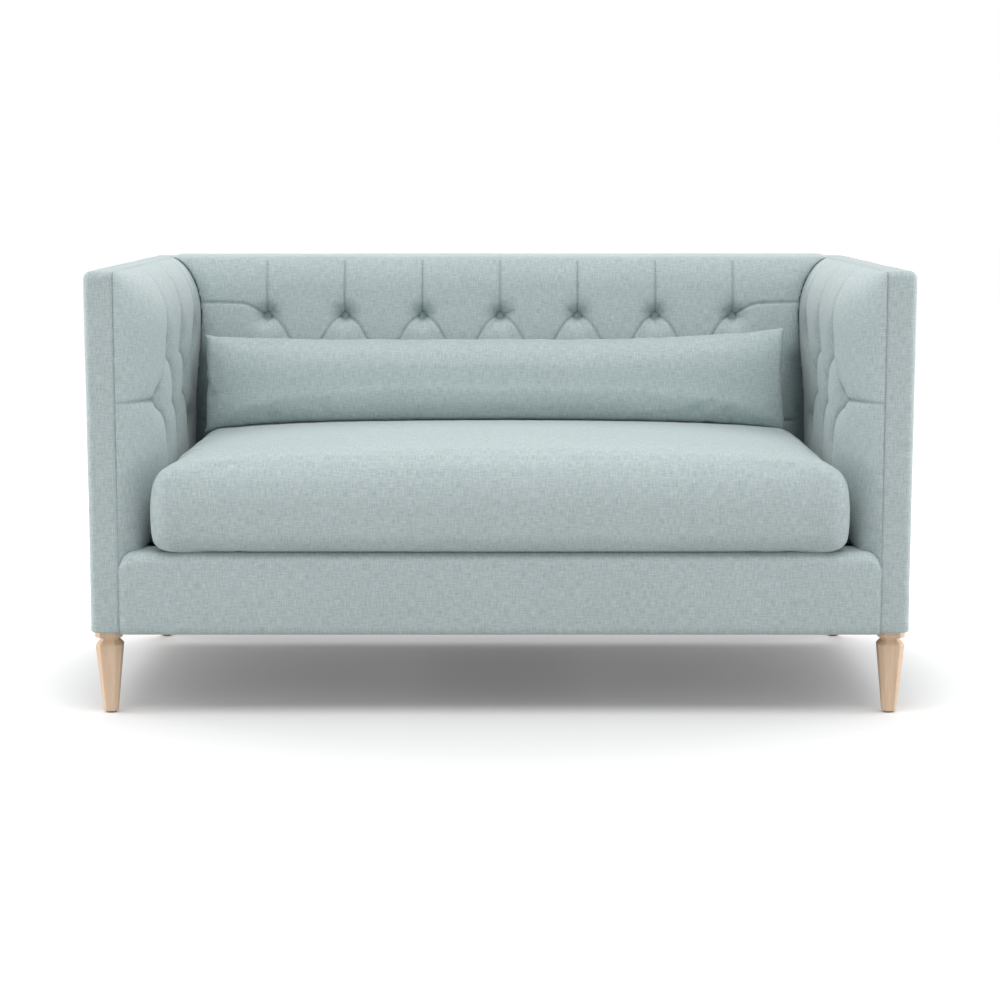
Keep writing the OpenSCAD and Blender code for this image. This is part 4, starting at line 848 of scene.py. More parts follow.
def coverBlank():
    # the whole outer body as one block with rounded corners, cut along its seams
    hw, top, low, corner = sofa["halfWidth"], sofa["top"], sofa["bottom"], sofa["corner"]
    frontY = sofa["frontY"]
    bm = bmesh.new()

    def ring(z):
        corners = ((-hw, frontY), (hw, frontY), (hw, rearY(z)), (-hw, rearY(z)))
        return [bm.verts.new((x, y, z)) for x, y in corners]

    def atFoot(edge):
        return all(v.co.z < low + 1e-4 for v in edge.verts)

    def ease(edges, radius, steps, **more):
        bmesh.ops.bevel(bm, geom=edges, offset=radius, offset_type="OFFSET", segments=steps,
                        profile=0.5, affect="EDGES", **more)

    lower, upper = ring(low), ring(top)
    for i in range(4):
        bm.faces.new((lower[i], lower[(i + 1) % 4], upper[(i + 1) % 4], upper[i]))
    bm.faces.new(upper)
    bm.faces.new(lower[::-1])
    bm.normal_update()
    ease([e for e in bm.edges if not atFoot(e)], corner, 6)
    lowEdges = [e for e in bm.edges if atFoot(e) and len(e.link_faces) == 2]
    ease(lowEdges, cover["lowCorner"], 3, clamp_overlap=True)

    def cut(point, normal):
        geometry = bm.verts[:] + bm.edges[:] + bm.faces[:]
        bmesh.ops.bisect_plane(bm, geom=geometry, plane_co=point, plane_no=normal, dist=1e-6)

    wrap, near = cover["wrap"], (-0.0065, -0.0028, 0, 0.0028, 0.0065)
    for side in (-1, 1):
        for step in near:
            cut((side * (sofa["seamX"] + step), 0, 0), (1, 0, 0))
        cut((side * (hw - cover["turnUnder"]), 0, 0), (1, 0, 0))
    lean = (0, 1, -sofa["rake"])
    for step in near:
        cut((0, frontY + wrap + step, 0), (0, 1, 0))
        cut((0, rearY(low) - wrap + step, low), lean)
        cut((0, 0, top - wrap + step), (0, 0, 1))
    for step in (-0.0028, 0, 0.0028):
        cut((0, rearY(top) - sofa["seamDepth"] + step, 0), (0, 1, 0))
    cut((0, frontY + cover["turnUnder"], 0), (0, 1, 0))
    cut((0, rearY(low) - cover["turnUnder"], low), lean)
    for k in range(1, int(2 * hw / cover["cell"])):
        cut((-hw + k * cover["cell"], 0, 0), (1, 0, 0))
    for k in range(1, int(sofa["baseDepth"] / cover["cell"])):
        cut((0, frontY + k * cover["cell"], 0), (0, 1, 0))
    for k in range(1, int((top - low) / cover["cell"])):
        cut((0, 0, low + k * cover["cell"]), (0, 0, 1))
    return bm


def coverName(p):
    x, y, z = p
    wrap, hw = cover["wrap"], sofa["halfWidth"]
    behind = rearY(z) - y
    if z < cover["low"]:
        inner = abs(x) < hw - cover["turnUnder"]
        if inner and y > sofa["frontY"] + cover["turnUnder"] and behind > cover["turnUnder"]:
            return None
    onTop = z > sofa["top"] - wrap
    if abs(x) > sofa["seamX"]:
        side = "Right" if x > 0 else "Left"
        if onTop or y < sofa["frontY"] + wrap:
            return "armBorder" + side
        return "outsideBack" if behind < wrap else "outsideArm" + side
    if onTop:
        return "backTopBand" if behind < sofa["seamDepth"] else None
    return "outsideBack" if behind < cover["turnUnder"] + 0.001 and y > 0 else None


coverNodes = {
    "armBorderLeft": "arm_border_left",
    "armBorderRight": "arm_border_right",
    "outsideArmLeft": "outside_arm_left",
    "outsideArmRight": "outside_arm_right",
    "backTopBand": "back_top_band",
    "outsideBack": "outside_back",
}


def sinkEdges(piece, depth, reach):
    # the cover dives into its seams along its own border, with painted shade in them
    mesh = piece.data
    count = {}
    for polygon in mesh.polygons:
        for key in polygon.edge_keys:
            count[key] = count.get(key, 0) + 1
    edges = [k for k, c in count.items() if c == 1]
    tree = KDTree(len(edges) * 3)
    n = 0
    for a, b in edges:
        pa, pb = mesh.vertices[a].co, mesh.vertices[b].co
        for t in (0.0, 0.5, 1.0):
            tree.insert(pa.lerp(pb, t), n)
            n += 1
    tree.balance()
    paintedShade = np.zeros(len(mesh.vertices))
    moves = []
    for v in mesh.vertices:
        away = tree.find(v.co)[2]
        push = math.exp(-((away / reach) ** 2))
        # painted shade in the seam
        paintedShade[v.index] = 0.22 * push
        soft = 0.0009 * softNoise(v.co, 0.16, 3.1) + 0.0004 * softNoise(v.co, 0.05, 7.7)
        if piece.name == "backTopBand":
            t = (rearY(v.co.z) - v.co.y) / sofa["seamDepth"]
            arch = max(0.0, math.sin(math.pi * min(1, max(0, t)))) ** 0.6
            soft += cover["topBulge"] * arch * max(0, v.normal.z)
        moves.append(v.co + v.normal * (soft * (1 - push) - depth * push))
    for v, p in zip(mesh.vertices, moves):
        if v.co.z < cover["low"]:
            p.z = sofa["bottom"] - cover["underSkin"]
        v.co = p
    setPaintedShade(piece, paintedShade)


def makeCovers():
    bm = coverBlank()
    groups = {}
    for face in bm.faces:
        groups.setdefault(coverName(face.calc_center_median()), []).append(face)
    for name, node in coverNodes.items():
        faces = groups.get(name, [])
        index, points, polygons = {}, [], []
        for face in faces:
            ids = []
            for v in face.verts:
                if v not in index:
                    index[v] = len(points)
                    points.append(tuple(v.co))
                ids.append(index[v])
            polygons.append(ids)
        piece = makePiece(name, points, polygons, upholstery)
        sinkEdges(piece, cover["groove"], cover["grooveReach"])
        thicken(piece, cover["thick"])
        boxUv(piece)
        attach(piece, "sofa")
        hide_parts(node)
        print(" ", name, len(piece.data.polygons), "faces")
    bm.free()


makeCovers()
print("outer covers made")


# front band
def makeFrontBand():
    frontY, low, deck, half = sofa["frontY"], sofa["bottom"], sofa["deck"], sofa["seamX"]
    nose = frontBand["nose"]
    skin = -cover["underSkin"]
    path = [(0.030, skin), (0.012, skin), (0.004, 0.0004), (0.0012, 0.0016), (0.0, 0.005)]
    height = deck - low
    for k in range(1, 17):
        path.append((0.0, 0.005 + (height - nose - 0.005) * k / 16))
    for k in range(1, 9):
        a = math.pi / 2 * k / 8
        path.append((nose * (1 - math.cos(a)), height - nose + nose * math.sin(a)))
    for k in range(1, 9):
        path.append((nose + (frontBand["lip"] - nose) * k / 8, height))
    path.append((frontBand["lip"] + 0.001, height - 0.004))
    path.append((frontBand["lip"] + 0.001, height - 0.009))
    n = int(2 * half / frontBand["cell"])
    edge = [0, 0.0015, 0.004, 0.008, 0.014]
    xs = [-half + e for e in edge] + list(np.linspace(-half + 0.022, half - 0.022, n))
    xs += [half - e for e in edge[::-1]]
    points, paintedShade = [], []
    for x in xs:
        gap = half - abs(x)
        drop = float(bandDrop(gap))
        sink = math.exp(-((gap / 0.0042) ** 2))
        for dy, dz in path:
            share = float(smoothStep((dz - (height - 0.060)) / 0.060))
            z = low + dz - drop * share
            arch = math.sin(math.pi * min(1, max(0, dz / height)))
            bulge = frontBand["bulge"] * arch * (1 - sink)
            soft = 0.0008 * softNoise((x, dz, 0), 0.17, 1.3) * (1 - sink)
            y = frontY + dy
            if dy < nose:
                y = y - (bulge + soft) + 0.0028 * sink
            points.append((x, y, z))
            # painted shade where the band's ends sink in beside the arms
            paintedShade.append(0.34 * sink)
    piece = makePiece("frontBand", points, gridFaces(len(xs), len(path)), upholstery)
    setPaintedShade(piece, paintedShade)
    thicken(piece, frontBand["thick"])
    boxUv(piece)
    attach(piece, "sofa")
    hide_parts("front_band")


makeFrontBand()
print("front band made")


# seat cushion
seatCushion = {
    "frontHalf": 0.646,
    "sideHalf": 0.634,
    "low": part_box("seat_cushion_cover")[0],
    "high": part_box("seat_cushion_cover")[1],
    "cornerHeight": 0.150,
    "edgeRise": 0.020,
    "crown": 0.034,
    "cornerRadius": 0.034,
    "rowsAcross": 26,
    "rowsDeep": 48,
    # the cover's rings, each by its inset and its height: in metres above the underside,
    # then as a share of the edge's height, then in metres above the crown
    "under": [
        (0.300, 0.0), (0.200, 0.0), (0.120, 0.0), (0.070, 0.0004), (0.046, 0.0014),
        (0.030, 0.0038), (0.018, 0.0078), (0.0095, 0.0135), (0.004, 0.022), (0.0014, 0.033),
    ],
    "side": [
        (0.0004, 0.34), (0.0, 0.46), (0.0, 0.58), (0.0012, 0.70), (0.0035, 0.80),
        (0.0072, 0.89), (0.0130, 0.957),
    ],
    "over": [
        (0.022, -0.0008), (0.034, 0), (0.050, 0), (0.072, 0), (0.100, 0),
        (0.135, 0), (0.175, 0), (0.220, 0), (0.270, 0), (0.310, 0),
    ],
}

cushionMid = (seatCushion["low"].y + seatCushion["high"].y) / 2
cushionReach = (seatCushion["high"].y - seatCushion["low"].y) / 2


def cushionHalf(y):
    t = (y - sofa["frontY"] - 0.015) / 0.062
    side, front = seatCushion["sideHalf"], seatCushion["frontHalf"]
    return side + (front - side) * np.exp(-t * t)


def edgeLine(x):
    t = np.minimum(1, np.abs(x) / seatCushion["frontHalf"])
    return seatCushion["cornerHeight"] + seatCushion["edgeRise"] * (1 - t ** 10)


def domeShare(t):
    return np.power(1 - np.power(np.minimum(1, np.abs(t)), 2.4), 0.7)


def crownRise(x, y):
    rise = seatCushion["crown"] * domeShare(x / cushionHalf(y))
    return rise * domeShare((y - cushionMid) / cushionReach)


def frontEase(x, inset, share):
    # the front edge rolls over softly, short of the corners
    middle = 1 - smoothStep((abs(x) - 0.46) / 0.16)
    return 0.014 * math.exp(-((inset / 0.050) ** 2)) * smoothStep((share - 0.45) / 0.40) * middle


def roundedPlan(a, b, r, perSide):
    # points round a rectangle with rounded corners, counter-clockwise from the front right
    points = []
    corners = [(a - r, r - b, -90), (a - r, b - r, 0), (r - a, b - r, 90), (r - a, r - b, 180)]
    for k, (cx, cy, start) in enumerate(corners):
        turns = [math.radians(start + 11.25 * i) for i in range(9)]
        arc = [(cx + r * math.cos(t), cy + r * math.sin(t)) for t in turns]
        points += arc
        nx, ny, nextStart = corners[(k + 1) % 4]
        nextX = nx + r * math.cos(math.radians(nextStart))
        nextY = ny + r * math.sin(math.radians(nextStart))
        lastX, lastY = arc[-1]
        for i in range(1, perSide[k]):
            t = i / perSide[k]
            points.append((lastX + (nextX - lastX) * t, lastY + (nextY - lastY) * t))
    return points


def makeSeatCushion():
    low = seatCushion["low"]
    cy, b, a = cushionMid, cushionReach, seatCushion["frontHalf"]
    rings = [(inset, rule, value) for rule in ("under", "side", "over")
             for inset, value in seatCushion[rule]]
    perSide = [seatCushion["rowsAcross"], seatCushion["rowsDeep"]] * 2
    points = []
    for inset, rule, value in rings:
        r = max(0.006, seatCushion["cornerRadius"] - 0.5 * inset)
        for px, py in roundedPlan(a - inset, b - inset, r, perSide):
            y = cy + py
            x = px * cushionHalf(y) / a
            if rule == "under":
                z = value
            elif rule == "side":
                z = value * edgeLine(x) - frontEase(x, y - low.y, value)
            else:
                z = edgeLine(x) + crownRise(x, y) + value - frontEase(x, y - low.y, 1)
            points.append((x, y, low.z + z))
    n = len(points) // len(rings)
    points += [(0, cy, low.z), (0, cy, low.z + edgeLine(0) + crownRise(0, cy))]
    faces = ringFaces(len(rings), n) + poleFaces(len(rings), n)
    return makePiece("seatCushion", points, faces, upholstery)


def finishCushion(piece, body, nodes):
    boxUv(piece)
    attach(piece, body)
    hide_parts(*nodes)


coverCloth = {
    "quality": 5,
    "mass": 0.25,
    "stretch": 12,
    "shear": 6,
    "bending": 0.4,
    "pressure": 4.0,
    "shrink": -0.02,
    "frames": 20,
}


def inflate(piece, voxel, cap):
    # the cover as cloth: blown up inside its own size, each point held to a short way
    even = piece.modifiers.new("even", "REMESH")
    even.mode = "VOXEL"
    even.voxel_size = voxel
    applyModifier(piece, even)
    start = vertexArray(piece)
    scene = bpy.context.scene
    cloth = piece.modifiers.new("cover", "CLOTH")
    cloth.settings.quality = coverCloth["quality"]
    cloth.settings.mass = coverCloth["mass"]
    cloth.settings.tension_stiffness = coverCloth["stretch"]
    cloth.settings.compression_stiffness = coverCloth["stretch"]
    cloth.settings.shear_stiffness = coverCloth["shear"]
    cloth.settings.bending_stiffness = coverCloth["bending"]
    cloth.settings.use_pressure = True
    cloth.settings.uniform_pressure_force = coverCloth["pressure"]
    cloth.settings.effector_weights.gravity = 0
    cloth.settings.shrink_min = coverCloth["shrink"]
    cloth.settings.shrink_max = coverCloth["shrink"]
    cloth.point_cache.frame_start = 1
    cloth.point_cache.frame_end = coverCloth["frames"]
    for step in range(1, coverCloth["frames"] + 1):
        scene.frame_set(step)
    graph = bpy.context.evaluated_depsgraph_get()
    blown = piece.evaluated_get(graph)
    mesh = blown.to_mesh()
    ended = np.empty(len(mesh.vertices) * 3)
    mesh.vertices.foreach_get("co", ended)
    blown.to_mesh_clear()
    piece.modifiers.remove(cloth)
    scene.frame_set(1)
    travel = ended.reshape(-1, 3) - start
    length = np.linalg.norm(travel, axis=1, keepdims=True)
    return start, start + travel * np.minimum(1, cap / np.maximum(length, 1e-9))


def smoothed(piece, points, rounds):
    edges = np.empty(len(piece.data.edges) * 2, dtype=np.int32)
    piece.data.edges.foreach_get("vertices", edges)
    a, b = edges.reshape(-1, 2).T
    count = np.bincount(np.concatenate([a, b]), minlength=len(points))[:, None]
    out = points.copy()
    for _ in range(rounds):
        total = np.zeros_like(out)
        np.add.at(total, a, out[b])
        np.add.at(total, b, out[a])
        out = out + 0.6 * (total / np.maximum(count, 1) - out)
    return out


def clothDetail(piece, start, blown, rounds):
    # the small folds of the simulation, without the change in overall size
    travel = blown - start
    return travel - smoothed(piece, travel, rounds)


def subdivide(piece):
    finer = piece.modifiers.new("finer", "SUBSURF")
    finer.levels = finer.render_levels = 1
    applyModifier(piece, finer)
    piece.data.polygons.foreach_set("use_smooth", [True] * len(piece.data.polygons))


coilZip = {
    "grooveHalf": 0.0075,
    "grooveDeep": 0.0022,
    "grooveEase": 0.008,
    "pitch": 0.0021,
    "tooth": 0.0013,
    "half": 0.0028,
    "deep": 0.0018,
    "proud": 0.00025,
    "stitch": 0.0032,
    "stitchPitch": 0.0046,
    "thread": 0.0006,
    "stitchOut": 0.0175,
    "stitchSunk": 0.00015,
}


def zipFacing(node):
    # the way the zip looks: that of its largest face turned to the rear
    best, facing = 0, Vector((0, 1, 0))
    for face in frame["nodes"][node].data.polygons:
        if face.area > best and face.normal.y > 0.3:
            best, facing = face.area, face.normal.copy()
    return facing


def zipGroove(points, node):
    # the cover opens along its zip
    low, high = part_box(node)
    middle, span = np.array((low + high) / 2), (high.x - low.x) / 2
    outward = np.array(zipFacing(node))
    along = points[:, 0] - middle[0]
    off = (points - middle) @ outward
    across = (points - middle) @ np.cross(outward, (1, 0, 0))
    near = (np.abs(off) < 0.03) & (np.abs(along) < span + 0.004)
    share = 1 - smoothStep((np.abs(across) - coilZip["grooveHalf"]) / coilZip["grooveEase"])
    share = share * near * (1 - smoothStep((np.abs(along) - span) / 0.006))
    return points + outward * (share * np.minimum(0, -coilZip["grooveDeep"] - off))[:, None]


cushion = makeSeatCushion()
start, blown = inflate(cushion, voxel=0.009, cap=0.022)
detail = clothDetail(cushion, start, blown, rounds=40)
# the folds fade out where the cushion lies on the deck
detail[:, 2] *= 0.3 + 0.7 * smoothStep((start[:, 2] - seatCushion["low"].z) / 0.03)
points = start + detail
points[:, 2] = np.maximum(points[:, 2], seatCushion["low"].z + 0.0002)
setVertices(cushion, points)
subdivide(cushion)
setVertices(cushion, zipGroove(vertexArray(cushion), "seat_zip"))
finishCushion(cushion, "seat_cushion", ["seat_cushion_cover"])
print("seat cushion made")


# lumbar pillow
lumbarPillow = {
    "half": 0.6075,
    "height": 0.172,
    "halfThick": 0.080,
    "rightEar": 0.026,
    "leftEar": 0.012,
    "offset": 0.0115,
    "gap": 0.002,
    "lift": 0.0006,
    "cols": 150,
    "rows": 44,
}


def cushionTop(x, y):
    return seatCushion["low"].z + edgeLine(x) + crownRise(x, y)


def pillowPlane():
    # where the pillow's seam stands at its foot: against the puffed back, just off the cushion
    shape = lumbarPillow
    seatY = rearY(cushionTop(0, cushionMid)) - sofa["seamDepth"] - backTuft["puff"]
    seatY = seatY - shape["gap"] - shape["halfThick"]
    return seatY, cushionTop(-shape["offset"], seatY) + shape["lift"]


def pillowFullness(u, v, face):
    # how thick the pillow is, as a share: full in front, flatter behind, closed at its rim
    if face > 0:
        full = max(0, 1 - abs(v) ** (3.3 if v > 0 else 4.6)) ** 0.55
    else:
        full = max(0, 1 - v * v) ** 0.62
    return max(0, 1 - abs(u) ** 5) ** 0.55, full


def makePillow():
    shape = lumbarPillow
    seatY, middleLow = pillowPlane()
    cols, rows = shape["cols"], shape["rows"]
    points = []
    for face in (1, -1):
        for j in range(rows + 1):
            v = -math.cos(math.pi * j / rows)
            for i in range(cols + 1):
                u = -math.cos(math.pi * i / cols)
                x = shape["half"] * u * (1 - 0.006 * (1 - v * v) * abs(u)) - shape["offset"]
                z0 = cushionTop(x, seatY) + shape["lift"]
                ear = shape["rightEar"] * u ** 3.2 if u > 0 else shape["leftEar"] * abs(u) ** 5
                z1 = middleLow + shape["height"] + ear
                z = z0 + (z1 - z0) * (v + 1) / 2
                across, upright = pillowFullness(u, v, face)
                thick = shape["halfThick"] * across * upright
                y = seatY + (z - middleLow) * sofa["rake"] - face * thick
                points.append((x, y, max(z, cushionTop(x, y) + shape["lift"])))
    count = (cols + 1) * (rows + 1)
    faces = gridFaces(rows + 1, cols + 1)
    faces += [[f[3] + count, f[2] + count, f[1] + count, f[0] + count] for f in faces]
    piece = makePiece("lumbarPillow", points, faces, upholstery)
    bm = bmesh.new()
    bm.from_mesh(piece.data)
    bmesh.ops.remove_doubles(bm, verts=bm.verts, dist=1e-5)
    bmesh.ops.recalc_face_normals(bm, faces=bm.faces)
    bm.to_mesh(piece.data)
    bm.free()
    return piece


def seamDistance(points):
    seatY, middleLow = pillowPlane()
    return points[:, 1] - seatY - (points[:, 2] - middleLow) * sofa["rake"]


def puckers(piece, points):
    # the panels are gathered a little where they meet along the seam
    off = np.abs(seamDistance(points))
    wave = [noise.noise(Vector((p[0] / 0.019, 3.0 + math.copysign(2, p[1]), 0))) for p in points]
    slow = [noise.noise(Vector((p[0] / 0.09, 9.0, p[2] / 0.09))) for p in points]
    normals = np.empty(len(points) * 3)
    piece.data.vertices.foreach_get("normal", normals)
    gather = np.exp(-((off - 0.018) / 0.020) ** 2)
    size = 0.0026 * np.array(wave) * gather + 0.0016 * np.array(slow)
    return points + normals.reshape(-1, 3) * size[:, None]


pillow = makePillow()
start, blown = inflate(pillow, voxel=0.0065, cap=0.012)
detail = clothDetail(pillow, start, blown, rounds=30)
setVertices(pillow, puckers(pillow, start + detail))
subdivide(pillow)
setVertices(pillow, zipGroove(vertexArray(pillow), "pillow_zip"))
# painted shade along the pillow's seam
setPaintedShade(pillow, 0.3 * np.exp(-((seamDistance(vertexArray(pillow)) / 0.0032) ** 2)))
finishCushion(pillow, "lumbar_pillow", ["pillow_cover"])
print("pillow made")


# legs
turnedLeg = {
    "shoulder": 0.0490,
    "foot": 0.0262,
    "head": 0.028,
    "chamfer": 0.30,
    "edge": 0.0010,
    "footEase": 0.003,
    # the turning under the sofa: depth below it as a share of the head, and width as a share
    # of the shoulder
    "turning": [
        (1.0, 1.0), (0.975, 0.988), (0.90, 0.935), (0.82, 0.865), (0.75, 0.795), (0.70, 0.742),
        (0.66, 0.712), (0.61, 0.700), (0.565, 0.706), (0.53, 0.735), (0.508, 0.80), (0.488, 0.90),
        (0.465, 0.965), (0.43, 1.004), (0.36, 1.020), (0.08, 1.020), (0.03, 1.012), (0.0, 0.985),
    ],
}


def legSection(w, z, x, y):
    # a square with wide chamfers, each corner eased by three points
    a, b, e = w / 2, turnedLeg["chamfer"] * w, turnedLeg["edge"]
    corners = [(a, -b), (a, b), (b, a), (-b, a), (-a, b), (-a, -b), (-b, -a), (b, -a)]
    ring = []
    for k, corner in enumerate(corners):
        before, after = Vector(corners[k - 1]), Vector(corners[(k + 1) % 8])
        here = Vector(corner)
        p, q = here + (before - here).normalized() * e, here + (after - here).normalized() * e
        ring += [p, (p + q) / 4 + here / 2, q]
    return [(x + p.x, y + p.y, z) for p in ring]


legNodes = {
    "legFrontLeft": "leg_front_left",
    "legFrontRight": "leg_front_right",
    "legRearLeft": "leg_rear_left",
    "legRearRight": "leg_rear_right",
}


def makeLegs():
    low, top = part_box("leg_front_left")[0].z, sofa["bottom"]
    foot, shoulder, head = turnedLeg["foot"], turnedLeg["shoulder"], turnedLeg["head"]
    ease = turnedLeg["footEase"]
    # up from the eased foot, along the taper, then the turning under the sofa
    levels = [(low, foot - ease), (low + 0.4 * ease, foot - 0.2 * ease), (low + ease, foot)]
    for k in range(1, 13):
        t = k / 12
        z = low + ease + (top - 1.02 * head - low - ease) * t
        levels.append((z, foot + (shoulder - foot) * t))
    levels += [(top - drop * head, width * shoulder) for drop, width in turnedLeg["turning"]]
    for name, node in legNodes.items():
        low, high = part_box(node)
        cx, cy = (low.x + high.x) / 2, (low.y + high.y) / 2
        rings = [legSection(w, z, cx, cy) for z, w in levels]
        n = len(rings[0])
        points = [p for ring in rings for p in ring]
        faces = ringFaces(len(rings), n)
        faces.append(list(range(n))[::-1])
        faces.append([(len(rings) - 1) * n + i for i in range(n)])
        piece = makePiece(name, points, faces, legWood)
        piece.data.set_sharp_from_angle(angle=math.radians(32))
        crisp = piece.modifiers.new("crisp", "WEIGHTED_NORMAL")
        crisp.keep_sharp = True
        applyModifier(piece, crisp)
        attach(piece, "sofa")
        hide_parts(node)


makeLegs()
print("legs made")


# nodes kept from the frame
def plainMaterial(name, dark, light, roughness, metallic, grain):
    material, tree, shader = newMaterial(name)
    place = addNode(tree, "ShaderNodeTexCoord")
    speck = scaledNoise(tree, place.outputs["Object"], (grain, grain, grain), 3.0, 0.6)
    colour = rampNode(tree, speck, [(0.35, dark), (0.65, light)])
    tree.links.new(colour, shader.inputs["Base Color"])
    setRough(tree, shader, speck, swing=0.2, base=roughness - 0.1)
    shader.inputs["Metallic"].default_value = metallic
    setBump(tree, shader, speck, strength=0.15, distance=0.0004)
    return material


# each finish: dark and light tone, roughness, metal, fineness of its speck
plainFinishes = {
    "board": ("hardboard", (0.22, 0.13, 0.06), (0.34, 0.21, 0.11), 0.7, 0.0, 300),
    "steel": ("zincSteel", (0.45, 0.45, 0.46), (0.62, 0.62, 0.63), 0.35, 1.0, 500),
    "glide": ("nylonGlide", (0.20, 0.145, 0.105), (0.27, 0.20, 0.15), 0.45, 0.0, 300),
    "hessian": ("juteHessian", (0.28, 0.20, 0.11), (0.50, 0.38, 0.24), 0.9, 0.0, 700),
    "padding": ("foamAndFibre", (0.74, 0.68, 0.50), (0.88, 0.83, 0.66), 0.95, 0.0, 400),
    "lining": ("darkNonwoven", (0.035, 0.035, 0.037), (0.085, 0.085, 0.09), 0.85, 0.0, 600),
}
finishes = {slot: plainMaterial(*values) for slot, values in plainFinishes.items()}
finishes.update({"frame_timber": frameTimber, "leg_wood": legWood, "upholstery": upholstery})
slots = {s["node"]: s["material_slot"] for s in frame["record"]["subparts"]}
for name, piece in frame["nodes"].items():
    for material in piece.material_slots:
        material.material = finishes[slots[name]]
print("frame nodes finished")


# dust cover and deck cloth
dustCover = {
    "cell": 0.020,
    "sag": 0.0032,
    "pucker": 0.0006,
    "thick": 0.0008,
    "notchGap": 0.001,
    "staplePitch": 0.055,
    "stapleInset": 0.011,
}
staple = {"wide": 0.0100, "wire": 0.0011, "proud": 0.0006}
deckCloth = {"cell": 0.018, "thick": 0.0011, "pucker": 0.0005}


def spacedLine(low, high, cell, stops=()):
    count = max(2, int(round((high - low) / cell)))
    line = set(np.round(np.linspace(low, high, count + 1), 5)) | {round(s, 5) for s in stops}
    return sorted(line)


def clothGrid(name, xs, ys, height, material, thick, keep=None):
    index, points, faces = {}, [], []
    for j in range(len(ys) - 1):
        for i in range(len(xs) - 1):
            if keep and not keep((xs[i] + xs[i + 1]) / 2, (ys[j] + ys[j + 1]) / 2):
                continue
            face = []
            for a, b in ((i, j), (i + 1, j), (i + 1, j + 1), (i, j + 1)):
                if (a, b) not in index:
                    index[a, b] = len(points)
                    points.append((xs[a], ys[b], height(xs[a], ys[b])))
                face.append(index[a, b])
            faces.append(face)
    piece = makePiece(name, points, faces, material)
    thicken(piece, thick, offset=0)
    boxUv(piece)
    return piece


def makeDustCover():
    low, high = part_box("dust_cover")
    gap = dustCover["notchGap"]
    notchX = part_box("leg_front_right")[0].x - gap
    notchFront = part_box("leg_front_right")[1].y + gap
    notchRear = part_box("leg_rear_right")[0].y - gap
    xs = spacedLine(low.x, high.x, dustCover["cell"], (-notchX, notchX))
    ys = spacedLine(low.y, high.y, dustCover["cell"], (notchFront, notchRear))
    level = (low.z + high.z) / 2

    def height(x, y):
        edge = min(x - low.x, high.x - x, y - low.y, high.y - y)
        inner = float(smoothStep((edge - 0.03) / 0.30))
        pull = math.sin(2 * math.pi * (x + y) / dustCover["staplePitch"])
        pull *= math.exp(-((edge - 0.03) / 0.035) ** 2)
        pucker = dustCover["pucker"] * (0.5 + 0.5 * pull) * min(1, edge / 0.01)
        return level - dustCover["sag"] * inner - pucker

    def keep(x, y):
        return abs(x) < notchX or notchFront < y < notchRear

    piece = clothGrid("dustCover", xs, ys, height, finishes["lining"], dustCover["thick"], keep)
    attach(piece, "sofa")
    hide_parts("dust_cover")
    return low, high, notchX, notchFront, notchRear, level


def softBox(name, size, edge):
    bm = bmesh.new()
    bmesh.ops.create_cube(bm, size=1.0)
    for v in bm.verts:
        v.co = Vector((v.co.x * size[0], v.co.y * size[1], (v.co.z + 0.5) * size[2]))
    bmesh.ops.bevel(bm, geom=bm.edges[:], offset=edge, offset_type="OFFSET", segments=1,
                    profile=0.5, affect="EDGES")
    mesh = bpy.data.meshes.new(name)
    bm.to_mesh(mesh)
    bm.free()
    piece = bpy.data.objects.new(name, mesh)
    bpy.context.scene.collection.objects.link(piece)
    return piece


def makeStaples(low, high, notchX, notchFront, notchRear, level):
    inset, pitch = dustCover["stapleInset"], dustCover["staplePitch"]
    z = level - dustCover["thick"] / 2 - dustCover["pucker"] * 0.4
    down = (0, 0, -1)
    size = (staple["wide"], staple["wire"], staple["proud"])
    shape = softBox("stapleShape", size, edge=0.0002)
    xs = spacedLine(-notchX + 0.02, notchX - 0.02, pitch)
    ys = spacedLine(notchFront + 0.02, notchRear - 0.02, pitch)
    across = [(x, y, z) for y in (low.y + inset, high.y - inset) for x in xs]
    along = [(x, y, z) for x in (low.x + inset, high.x - inset) for y in ys]
    rows = [("staplesAcross", across, (-0.16, 0.16)), ("staplesAlong", along, (1.41, 1.73))]
    for name, places, spin in rows:
        facings = [down] * len(places)
        piece = scatter(name, places, facings, shape, finishes["steel"], seed=11, spin=spin)
        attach(piece, "sofa")
    bpy.data.objects.remove(shape)


def makeDeckCloth():
    low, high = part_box("deck_cloth")
    xs = spacedLine(low.x, high.x, deckCloth["cell"])
    ys = spacedLine(low.y, high.y, deckCloth["cell"])
    level = (low.z + high.z) / 2

    def height(x, y):
        return level + deckCloth["pucker"] * softNoise((x, y, 0), 0.11, 4.4)

    piece = clothGrid("deckCloth", xs, ys, height, finishes["lining"], deckCloth["thick"])
    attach(piece, "sofa")
    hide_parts("deck_cloth")


makeStaples(*makeDustCover())
makeDeckCloth()
print("dust cover, staples and deck cloth made")


